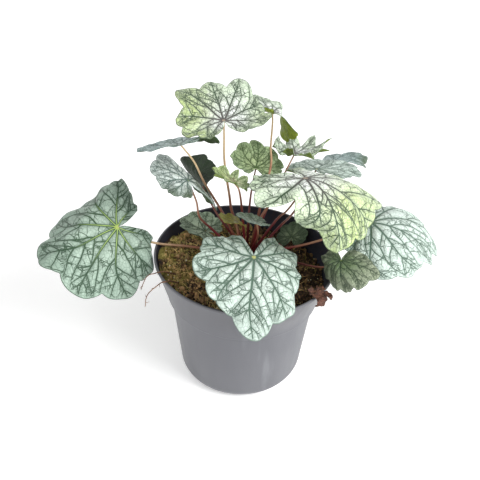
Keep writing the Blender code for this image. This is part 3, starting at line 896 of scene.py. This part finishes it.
def smooth_route(points, count):
    """Evenly numbered points on the smooth curve through the given ones."""
    ends = [2 * points[0] - points[1], *points, 2 * points[-1] - points[-2]]
    route = []
    for number in range(count):
        place = number * (len(points) - 1) / (count - 1)
        first = min(int(place), len(points) - 2)
        share = place - first
        before, start, end, after = ends[first : first + 4]
        bend = 2 * before - 5 * start + 4 * end - after
        swing = 3 * start - before - 3 * end + after
        twice = 2 * start + (end - before) * share + bend * share**2 + swing * share**3
        route.append(0.5 * twice)
    return route


def add_length(bm, route, radii, sides):
    """A closed round length along a route, drawn out ring by ring. Returns its points."""
    along = bm.verts.layers.float.get("along")
    ring = bmesh.ops.create_circle(bm, cap_ends=True, segments=sides, radius=1)["verts"]
    across = (route[1] - route[0]).normalized().orthogonal().normalized()
    everything = []
    for number, centre in enumerate(route):
        before = route[max(number - 1, 0)]
        after = route[min(number + 1, len(route) - 1)]
        way = (after - before).normalized()
        across = (across - way * across.dot(way)).normalized()
        other = way.cross(across)
        if number:
            joined = {e for v in ring for e in v.link_edges}
            edges = [e for e in joined if all(v in ring for v in e.verts)]
            drawn = bmesh.ops.extrude_edge_only(bm, edges=edges)["geom"]
            fresh = {v for v in drawn if isinstance(v, bmesh.types.BMVert)}
            ring = [
                next(e.other_vert(v) for e in v.link_edges if e.other_vert(v) in fresh) for v in ring
            ]
        for place, vert in enumerate(ring):
            turn = math.tau * place / sides
            lean = math.cos(turn) * across + math.sin(turn) * other
            vert.co = centre + float(radii[number]) * lean
            if along:
                vert[along] = number / (len(route) - 1)
        everything += ring
    bmesh.ops.contextual_create(bm, geom=ring)
    faces = list({face for vert in everything for face in vert.link_faces})
    bmesh.ops.recalc_face_normals(bm, faces=faces)
    return everything


def stalk_route(leaf):
    """From inside the crown, through the leaf's own bends, to the blade."""
    turn = math.radians(leaf["foot"][0])
    ring = leaf["foot"][1] * MM
    rise = math.sqrt(CROWN_RADIUS**2 - ring**2)
    out = Vector((ring * math.cos(turn), ring * math.sin(turn), rise)).normalized()
    joint = Vector(leaf["at"]) * MM
    under = -Vector(leaf_turn(leaf)[:, 2])
    bends = [Vector(point) * MM for point in leaf["stalk"]]
    foot = CROWN + out * (CROWN_RADIUS - 0.8 * MM)
    top = joint + under * 0.3 * MM
    return smooth_route([foot, *bends, top], STALK_RINGS)


def make_stalk(leaf):
    bm = bmesh.new()
    bm.verts.layers.float.new("along")
    route = stalk_route(leaf)
    share = np.linspace(0, 1, STALK_RINGS)
    slim = STALK_FOOT_RADIUS + share * (STALK_TOP_RADIUS - STALK_FOOT_RADIUS)
    slim *= min(1, 0.72 + leaf["length"] / 200)
    radii = slim * (1 + 0.5 * np.exp(-share / 0.03)) * (1 + 0.35 * np.exp(-(1 - share) / 0.02))
    add_length(bm, route, radii, STALK_SIDES)
    name = leaf["name"] + "_stem"
    look = stalk_material(leaf)
    add_piece(name, mesh_from(bm, name), [look], "stalk", leaf["name"] + "_stalk")


def make_leaves():
    for number, leaf in enumerate(LEAVES):
        rng = np.random.default_rng(100 + number)
        mesh = blade_mesh(leaf, rng)
        looks = [leaf_material(leaf, True), leaf_material(leaf, False)]
        blade = add_piece(leaf["name"] + "_leaf", mesh, looks, "blade", leaf["name"] + "_blade")
        thickened(blade, BLADE_THICKNESS, material_offset=1, material_offset_rim=0)
        make_stalk(leaf)


# Pot


def turned_mesh(name, profile, segments, shape):
    """A profile from the axis round to the axis, spun about Z. shape then moves each point."""
    bm = bmesh.new()
    points = [bm.verts.new((radius, 0, height)) for radius, height in profile]
    edges = [bm.edges.new(pair) for pair in zip(points, points[1:])]
    bmesh.ops.spin(
        bm, geom=points + edges, axis=(0, 0, 1), angle=math.tau, steps=segments, use_merge=True
    )
    bmesh.ops.remove_doubles(bm, verts=bm.verts, dist=0.00001)
    bmesh.ops.recalc_face_normals(bm, faces=bm.faces)
    for vert in bm.verts:
        vert.co = shape(vert.co)
    mesh = mesh_from(bm, name)
    mesh.set_sharp_from_angle(angle=SHARP_EDGE)
    return mesh


def pressed_oval(point):
    """The thin rim is pressed oval and a little to one side, and the base isn't."""
    amount = max(point.z / POT_HEIGHT, 0) ** 2
    turn = math.atan2(point.y, point.x)
    flat = Vector((point.x, point.y))
    radius = flat.length
    if radius < 1e-6:
        return Vector(point)
    share = min(radius / BASE_RADIUS, 1)
    flat *= 1 + share * amount * RIM_OVAL * math.cos(2 * (turn - RIM_OVAL_TURN)) / radius
    flat += RIM_SHIFT * amount
    return Vector((flat.x, flat.y, point.z))


def arc(centre, radius, start, end, count):
    """Points on an arc in the profile plane, angles in degrees from the outward direction."""
    angles = [math.radians(start + (end - start) * i / count) for i in range(count + 1)]
    return [(centre[0] + radius * math.cos(a), centre[1] + radius * math.sin(a)) for a in angles]


def inner_radius(height):
    """The pot's inside radius at a height, before the rim is pressed oval."""
    if height >= STEP_HEIGHT:
        rise = (height - STEP_HEIGHT) / (POT_HEIGHT - STEP_HEIGHT)
        return COLLAR_FOOT_RADIUS + rise * (RIM_RADIUS - COLLAR_FOOT_RADIUS) - WALL
    rise = height / STEP_HEIGHT
    return BASE_RADIUS + rise * (STEP_RADIUS - BASE_RADIUS) - WALL


def pot_material():
    """Satin grey plastic with a fine moulded skin, rubbed marks, dust near the rim, and painted
    shade on the collar.
    """
    material, tree, shader = new_material("satin grey plastic", 0.42)
    place = object_place(tree)
    cloud = grain(tree, place, 14, 4)
    stretch = put(tree, "Mapping", place, None, None, (1, 1, 0.12))
    rub = grain(tree, stretch, 60, 6)
    height = put(tree, "SeparateXYZ", place).node.outputs[2]
    grey = eased(tree, cloud, 0.3, 0.7, tone(94, 95, 101), tone(101, 102, 107))
    # Painted shade: the collar darkens towards the rim, as if shaded by the leaves above
    grey = eased(tree, height, 0.070, 0.094, grey, tone(84, 84, 88), 0.45)
    grey = eased(tree, rub, 0.62, 0.75, grey, tone(138, 140, 144), 0.35)
    speck = ranged(tree, grain(tree, place, 700, 2), 0.72, 0.78)
    dusty = ranged(tree, height, 0.05, POT_HEIGHT, 0.1, 0.5)
    grey = mixed(tree, times(tree, speck, dusty), grey, tone(84, 66, 50))
    tree.links.new(ranged(tree, rub, 0.3, 0.8, 0.36, 0.55), shader.inputs["Roughness"])
    paint(tree, shader, grey, grain(tree, place, 1400, 2), 0.05 * MM)
    return material


def pot_inside_material():
    """The inner wall and floor, painted dark as the shade inside the pot, with soil dust and drops.
    """
    material, tree, shader = new_material("dark inner wall", 0.5)
    place = object_place(tree)
    spot = ranged(tree, grain(tree, place, 380, 5), 0.56, 0.68)
    base = eased(tree, grain(tree, place, 30, 4), 0.3, 0.7, tone(44, 45, 58), tone(58, 60, 74))
    colour = mixed(tree, times(tree, spot, 0.6), base, tone(60, 44, 32))
    paint(tree, shader, colour, spot, 0.15 * MM)
    return material


def reshaped(blank, operation, sides, radius, depth, middle):
    """Adds an upright round length to the blank or takes it away, and returns the helper."""
    bm = bmesh.new()
    bmesh.ops.create_cone(
        bm, cap_ends=True, segments=sides, radius1=radius, radius2=radius, depth=depth
    )
    bmesh.ops.translate(bm, verts=bm.verts, vec=middle)
    helper = placed("helper", mesh_from(bm, "helper"))
    change = blank.modifiers.new("change", "BOOLEAN")
    change.operation = operation
    change.solver = "EXACT"
    change.object = helper
    return helper


def make_pot():
    corner = (BASE_RADIUS - BASE_ROUND, BASE_ROUND + FOOT_HEIGHT)
    inner_corner = (BASE_RADIUS - BASE_ROUND, BASE_ROUND + FLOOR - WALL)
    lip = RIM_RADIUS + 0.3 * MM
    profile = [(0, FLOOR)]
    profile += arc(inner_corner, BASE_ROUND - WALL, -90, 0, 8)
    profile += [
        (inner_radius(STEP_HEIGHT - 4 * MM), STEP_HEIGHT - 4 * MM),
        (inner_radius(STEP_HEIGHT + 1 * MM), STEP_HEIGHT + 1 * MM),
        (RIM_RADIUS - WALL, POT_HEIGHT - 0.5 * MM),
    ]
    profile += arc((RIM_RADIUS - WALL + 0.4 * MM, POT_HEIGHT - 0.4 * MM), 0.4 * MM, 150, 90, 3)
    profile += arc((lip - 0.4 * MM, POT_HEIGHT - 0.4 * MM), 0.4 * MM, 90, 0, 4)
    profile += arc((lip - 0.3 * MM, POT_HEIGHT - RIM_BAND), 0.3 * MM, 0, -70, 3)
    profile += [
        (RIM_RADIUS - 0.35 * MM, POT_HEIGHT - RIM_BAND - 0.5 * MM),
        (COLLAR_FOOT_RADIUS + 0.35 * MM, STEP_HEIGHT + 2.6 * MM),
    ]
    profile += arc((COLLAR_FOOT_RADIUS - 0.9 * MM, STEP_HEIGHT + 1.4 * MM), 1.2 * MM, 0, -80, 4)
    profile += arc((STEP_RADIUS + 0.7 * MM, STEP_HEIGHT - 1.0 * MM), 0.7 * MM, 120, 180, 3)
    profile += arc(corner, BASE_ROUND, 0, -90, 12)
    profile += [(0, FOOT_HEIGHT)]
    mesh = turned_mesh("pot_shell", profile, POT_SEGMENTS, pressed_oval)
    blank = placed("pot_blank", mesh)
    foot_at = (0, 0, FOOT_HEIGHT)
    helpers = [reshaped(blank, "UNION", FOOT_SIDES, FOOT_RADIUS, 2 * FOOT_HEIGHT, foot_at)]
    for number in range(DRAIN_HOLES):
        turn = math.tau * (number + 0.5) / DRAIN_HOLES
        middle = (DRAIN_RING * math.cos(turn), DRAIN_RING * math.sin(turn), FLOOR / 2)
        helpers.append(reshaped(blank, "DIFFERENCE", 32, DRAIN_RADIUS, 4 * FLOOR, middle))
    bpy.context.view_layer.update()
    ready = blank.evaluated_get(bpy.context.evaluated_depsgraph_get())
    shell = bpy.data.meshes.new_from_object(ready)
    for helper in (blank, *helpers):
        bpy.data.objects.remove(helper, do_unlink=True)
    shell.materials.clear()
    shell.shade_smooth()
    shell.set_sharp_from_angle(angle=SHARP_EDGE)
    # The inside and the inner floor take the dark material, which paints the shade inside the pot
    for face in shell.polygons:
        centre = face.center
        outward = Vector((centre.x, centre.y, 0))
        inside = face.normal.dot(outward) < 0 and centre.z < POT_HEIGHT - 0.3 * MM
        level = face.normal.z > 0.5 and centre.z < STEP_HEIGHT
        face.material_index = 1 if inside or level else 0
    add_piece("pot_shell", shell, [pot_material(), pot_inside_material()], "pot_plastic", "pot")


# Soil and what lies on it


def soil_height(x, y):
    lumps = noise.noise(Vector((x, y, 0)) * 110) + 0.5 * noise.noise(Vector((x, y, 0.5)) * 260)
    from_heap = (x - SOIL_HEAP.x) ** 2 + (y - SOIL_HEAP.y) ** 2
    heap = SOIL_HEAP.z * math.exp(-from_heap / SOIL_HEAP_SPREAD**2)
    return SOIL_HEIGHT + SOIL_TILT.x * x + SOIL_TILT.y * y + SOIL_RELIEF * lumps + heap


def soil_crumbs_height(x, y):
    fine = noise.noise(Vector((x, y, 0.1)) * 620) + 0.6 * noise.noise(Vector((x, y, 0.2)) * 1300)
    return SOIL_CRUMB * fine


def soil_shape(point):
    """Fits a turned blank to the pot's inside, and raises its top into lumps and crumbs."""
    if point.z < SOIL_HEIGHT - 1 * MM:
        return pressed_oval(point)
    height = soil_height(point.x, point.y)
    share = (inner_radius(height) - SOIL_GAP) / (inner_radius(SOIL_HEIGHT) - SOIL_GAP)
    moved = pressed_oval(Vector((point.x * share, point.y * share, height)))
    from_crown = (Vector((moved.x, moved.y)) - CROWN.xy).length
    dip = CROWN_DIP * math.exp(-((from_crown / CROWN_RADIUS) ** 2))
    moved.z += soil_crumbs_height(moved.x, moved.y) - dip
    return moved


def peat_material(name, dry):
    """Peat: black-brown with red-brown and tan grains, and mossy green where it stays damp."""
    material, tree, shader = new_material(name, 0.9)
    place = object_place(tree)
    lump = grain(tree, place, 300, 6, 0.65)
    grit = grain(tree, place, 1100, 4, 0.6)
    patch = grain(tree, place, 70, 4)
    across = put(tree, "SeparateXYZ", place).node.outputs[0]
    left = ranged(tree, across, 0.02, -0.03)
    colour = eased(tree, lump, 0.35, 0.65, tone(22, 15, 11), tone(70, 48, 34))
    colour = eased(tree, grit, 0.56, 0.68, colour, tone(134, 96, 62), 0.85)
    mossy = times(tree, ranged(tree, patch, 0.42, 0.58), times(tree, left, 0.8))
    colour = mixed(tree, mossy, colour, tone(138, 128, 60))
    if dry:
        colour = mixed(tree, attribute(tree, "shade"), colour, tone(232, 186, 132))
    paint(tree, shader, colour, sums(tree, "ADD", lump, grit), 0.5 * MM)
    return material


def make_soil():
    edge = inner_radius(SOIL_HEIGHT) - SOIL_GAP
    profile = [(edge * (ring / SOIL_RINGS) ** 0.8, SOIL_HEIGHT) for ring in range(SOIL_RINGS + 1)]
    profile += [
        (inner_radius(STEP_HEIGHT + 1 * MM) - SOIL_GAP, STEP_HEIGHT + 1 * MM),
        (inner_radius(STEP_HEIGHT - 4 * MM) - SOIL_GAP, STEP_HEIGHT - 4 * MM),
        (BASE_RADIUS - WALL - SOIL_GAP, BASE_ROUND + FLOOR),
        (BASE_RADIUS - BASE_ROUND, FLOOR + 0.3 * MM),
        (0, FLOOR + 0.3 * MM),
    ]
    mesh = turned_mesh("soil_body", profile, SOIL_SEGMENTS, soil_shape)
    add_piece("soil_body", mesh, [peat_material("damp peat", False)], "soil", "soil")


def soil_spot(rng, left_share):
    """A random place on the soil. left_share is how often it lies in the left half."""
    while True:
        x = rng.uniform(*SOIL_SPAN_X) * MM
        y = rng.uniform(*SOIL_SPAN_Y) * MM
        if (x < SOIL_MIDDLE) != (rng.random() < left_share):
            continue
        spot = Vector((x, y)) - RIM_SHIFT * RIM_SHARE
        turn = math.atan2(spot.y, spot.x)
        oval = RIM_SHARE * RIM_OVAL * math.cos(2 * (turn - RIM_OVAL_TURN))
        on_soil = spot.length < inner_radius(SOIL_HEIGHT) + oval - SOIL_EDGE
        if on_soil and (Vector((x, y)) - CROWN.xy).length > CROWN_CLEAR:
            return x, y, soil_height(x, y) + soil_crumbs_height(x, y)


def random_turn(rng):
    angles = rng.uniform(0, math.tau, 3)
    return (
        Matrix.Rotation(angles[0], 4, "X")
        @ Matrix.Rotation(angles[1], 4, "Y")
        @ Matrix.Rotation(angles[2], 4, "Z")
    )


def shaded_material(name, dark, light):
    """Two tones of one stuff, told apart by each small bit's own shade."""
    material, tree, shader = new_material(name, 0.85)
    spots = grain(tree, object_place(tree), 1500, 3)
    share = sums(tree, "ADD", attribute(tree, "shade"), times(tree, spots, 0.3))
    colour = eased(tree, share, 0.1, 1.1, dark, light)
    paint(tree, shader, colour, spots, 0.1 * MM)
    return material


def scatter(name, seed, count, left_share, grow, look):
    """A piece of many small bits on the soil. grow adds one, and returns its points and shade."""
    rng = np.random.default_rng(seed)
    bm = bmesh.new()
    layer = bm.verts.layers.float.new("shade")
    for _ in range(count):
        points, shade = grow(bm, rng, *soil_spot(rng, left_share))
        for vert in points:
            vert[layer] = shade
    add_piece(name, mesh_from(bm, name), [look], "soil")


def grow_crumb(bm, rng, x, y, z):
    """A loose grain of peat or a chip of bark: a rough nugget."""
    size = rng.gamma(3.0, 0.24) * MM + 0.25 * MM
    shape = (size * rng.uniform(0.7, 1.7), size * rng.uniform(0.6, 1.1), size * 0.7, 1)
    lift = Matrix.Translation((x, y, z + 0.25 * size))
    place = lift @ random_turn(rng) @ Matrix.Diagonal(shape)
    points = bmesh.ops.create_icosphere(bm, subdivisions=1, radius=1, matrix=place)["verts"]
    shade = rng.beta(1.1, 2.4) * (1.0 if x < 0.01 else 0.5)
    for vert in points:
        vert.co += Vector(rng.normal(0, 0.16 * size, 3))
    return points, shade


def grow_tuft(bm, rng, x, y, z):
    """A tuft of fine pointed moss shoots, in the places where moss grows."""
    if noise.noise(Vector((x, y, 0.9)) * 75) < -0.12:
        return [], 0
    shade = rng.uniform(0, 1)
    points = []
    for _ in range(rng.integers(5, 10)):
        length = rng.uniform(1.2, 3.0) * MM
        lean = Matrix.Rotation(rng.uniform(0, 1.0), 4, "X")
        spin = Matrix.Rotation(rng.uniform(0, math.tau), 4, "Z")
        rise = Matrix.Translation((0, 0, length / 2))
        foot_x = x + rng.normal(0, 0.6) * MM
        foot_y = y + rng.normal(0, 0.6) * MM
        foot = Matrix.Translation((foot_x, foot_y, z - 0.3 * MM))
        points += bmesh.ops.create_cone(
            bm, cap_ends=True, segments=4, radius1=0.28 * MM, radius2=0.05 * MM,
            depth=length, matrix=foot @ spin @ lean @ rise,
        )["verts"]
    return points, shade


def grow_speck(bm, rng, x, y, z):
    """A pale grain of grit or slow feed."""
    size = rng.uniform(0.35, 0.8) * MM
    place = Matrix.Translation((x, y, z + 0.6 * size)) @ random_turn(rng)
    points = bmesh.ops.create_icosphere(bm, subdivisions=2, radius=size, matrix=place)["verts"]
    shade = rng.uniform(0, 1)
    for vert in points:
        vert.co += Vector(rng.normal(0, 0.06 * size, 3))
    return points, shade


def grow_fibre(bm, rng, x, y, z):
    """A dry fibre or bit of stalk that wanders over the soil."""
    turn = rng.uniform(0, math.tau)
    points = [Vector((x, y, z + 0.3 * MM))]
    for _ in range(rng.integers(2, 5)):
        turn += rng.normal(0, 0.6)
        ahead = points[-1] + Vector((math.cos(turn), math.sin(turn), 0)) * rng.uniform(1.5, 3.2) * MM
        ahead.z = soil_height(ahead.x, ahead.y) + rng.uniform(0.4, 1.8) * MM
        if (ahead.xy - RIM_SHIFT * RIM_SHARE).length > FIBRE_REACH:
            break
        points.append(ahead)
    if len(points) < 3:
        return [], 0
    route = smooth_route(points, 9)
    thick = rng.uniform(0.10, 0.30) * MM
    return add_length(bm, route, [thick] * len(route), 4), rng.uniform(0, 1)


def make_litter():
    """Everything loose on the soil. Each row is a piece: its seed, count, left share and tones."""
    scatter("peat_crumbs", 21, CRUMBS, 0.60, grow_crumb, peat_material("loose peat", True))
    for name, seed, count, left_share, grow, stuff, dark, light in (
        ("moss", 22, TUFTS, 0.80, grow_tuft, "moss", (104, 100, 34), (248, 230, 150)),
        ("grit", 23, SPECKS, 0.75, grow_speck, "grit", (186, 156, 96), (238, 230, 206)),
        ("dry_fibres", 24, FIBRES, 0.68, grow_fibre, "dry fibre", (96, 54, 34), (236, 202, 138)),
    ):
        look = shaded_material(stuff, tone(*dark), tone(*light))
        scatter(name, seed, count, left_share, grow, look)


def wood_material():
    material, tree, shader = new_material("old wood", 0.85)
    place = object_place(tree)
    rough = grain(tree, place, 420, 6, 0.65)
    colour = eased(tree, rough, 0.35, 0.65, tone(52, 30, 22), tone(128, 82, 54))
    paint(tree, shader, colour, rough, 0.6 * MM)
    return material


def make_crown():
    """The short woody stock, ridged and scarred where old stalks were."""
    bm = bmesh.new()
    bmesh.ops.create_uvsphere(bm, u_segments=64, v_segments=36, radius=CROWN_RADIUS)
    for vert in bm.verts:
        turn = math.atan2(vert.co.y, vert.co.x)
        ridge = 1 + 0.04 * math.cos(8 * turn + 40 * vert.co.z / CROWN_RADIUS)
        ridge += 0.05 * noise.noise(vert.co * 420)
        vert.co.x *= ridge * 0.97
        vert.co.y *= ridge * 0.97
        vert.co += CROWN
    add_piece("stock", mesh_from(bm, "stock"), [wood_material()], "crown", "crown")


def dry_material(name, dark, mid, pale):
    """Dead leaf: brown, with darker ribs and paler worn ridges."""
    material, tree, shader = new_material(name, 0.7)
    place = object_place(tree)
    blotch = grain(tree, place, 240, 5, 0.6)
    fine = grain(tree, place, 1500, 4, 0.6)
    colour = eased(tree, blotch, 0.35, 0.62, dark, mid)
    colour = eased(tree, fine, 0.52, 0.7, colour, pale, 0.8)
    paint(tree, shader, colour, sums(tree, "ADD", blotch, fine), 0.5 * MM)
    return material


def make_scrap(scrap, name, material, ragged, crumple, rng):
    """A torn and crumpled bit of dead leaf."""
    length = scrap["length"]
    lobes = [length * lobe / 100 for lobe in scrap["lobes"]]
    angle, reach, place = lobe_outline(lobes, SCRAP_STEPS)
    start = rng.uniform(0, math.tau)
    tear = 0.6 * np.sin(4.3 * place + start) + 0.4 * np.sin(9.7 * place + 2 * start)
    edge = reach * (1 + ragged * tear)
    flat = fanned(angle, edge, np.linspace(0, 1, SCRAP_ROWS))
    waves = [
        noise.noise(Vector((x, y, 3.1)) * 0.22) + 0.5 * noise.noise(Vector((x, y, 7.7)) * 0.6)
        for x, y in flat
    ]
    points = held(scrap, np.column_stack((flat, crumple * length * np.array(waves))))
    mesh, _ = grid_mesh(name, points, SCRAP_ROWS, len(angle))
    drop_doubles(mesh)
    piece = add_piece(name, mesh, [material], "dry_scrap", scrap["name"])
    thickened(piece, SCRAP_THICKNESS)


def make_rootlets(material):
    """The bare rootlets over the left of the rim, each with a few short side hairs."""
    rng = np.random.default_rng(25)
    for number, course in enumerate(ROOT_FIBRES):
        bm = bmesh.new()
        route = smooth_route([Vector(point) * MM for point in course], ROOTLET_RINGS)
        route = [point + 0.35 * MM * Vector(noise.noise_vector(point * 320)) for point in route]
        radii = FIBRE_RADIUS * np.linspace(1.1, 0.5, ROOTLET_RINGS)
        add_length(bm, route, radii, 8)
        for place in range(12, 56, 6):
            way = Vector(rng.normal(0, 1, 3)).normalized()
            way.z = -abs(way.z) * 0.6
            tip = route[place] + way * rng.uniform(2.0, 4.5) * MM
            middle = (route[place] + tip) / 2 + Vector(rng.normal(0, 0.4, 3)) * MM
            branch = smooth_route([route[place], middle, tip], 9)
            add_length(bm, branch, 0.2 * MM * np.linspace(1.1, 0.46, 9), 5)
        node = f"root_fibre_{number + 1}"
        name = node + "_fine"
        add_piece(name, mesh_from(bm, name), [material], "dry_scrap", node)


def make_dry_bits():
    brown = dry_material("dry brown leaf", tone(40, 22, 17), tone(88, 50, 36), tone(150, 104, 76))
    tan = dry_material("papery sheath", tone(120, 72, 40), tone(176, 118, 66), tone(214, 166, 110))
    rootlet = dry_material("bare rootlet", tone(70, 44, 30), tone(120, 84, 58), tone(170, 134, 100))
    rng = np.random.default_rng(26)
    looks = (("dead_leaf", brown, 0.32, 0.16), ("sheath_scale", tan, 0.12, 0.06))
    for scrap, (name, material, ragged, crumple) in zip(SCRAPS, looks):
        make_scrap(scrap, name, material, ragged, crumple, rng)
    make_rootlets(rootlet)


# Light, floor and camera


def aim(obj, target):
    obj.rotation_euler = (target - obj.location).to_track_quat("-Z", "Y").to_euler()


def make_lamps():
    for name, place, power in LAMPS:
        data = bpy.data.lights.new(name, "AREA")
        data.shape = "DISK"
        data.size = LAMP_SIZE
        data.energy = power
        lamp = placed(name, data)
        lamp.location = place
        aim(lamp, LAMP_TARGET)


def make_set():
    bm = bmesh.new()
    bmesh.ops.create_circle(bm, cap_ends=True, segments=64, radius=4)
    floor = placed("floor", mesh_from(bm, "floor"))
    material, _, shader = new_material("pale floor", 0.8)
    shader.inputs["Base Color"].default_value = PURE_WHITE
    shader.inputs["Emission Color"].default_value = PURE_WHITE
    shader.inputs["Emission Strength"].default_value = FLOOR_GLOW
    floor.data.materials.append(material)
    world = bpy.data.worlds.new("soft sky")
    world.use_nodes = True
    sky = world.node_tree.nodes["Background"]
    sky.inputs["Color"].default_value = PURE_WHITE
    sky.inputs["Strength"].default_value = SKY
    bpy.context.scene.world = world
    make_lamps()
    camera = placed("camera", bpy.data.cameras.new("camera"))
    camera.data.lens = LENS
    camera.data.sensor_width = SENSOR
    away = Vector((0, -math.cos(ELEVATION), math.sin(ELEVATION))) * DISTANCE
    camera.location = TARGET + away
    aim(camera, TARGET)
    bpy.context.scene.camera = camera
    bpy.context.scene.view_settings.view_transform = "Standard"


make_set()
make_pot()
make_soil()
make_litter()
make_crown()
make_dry_bits()
make_leaves()
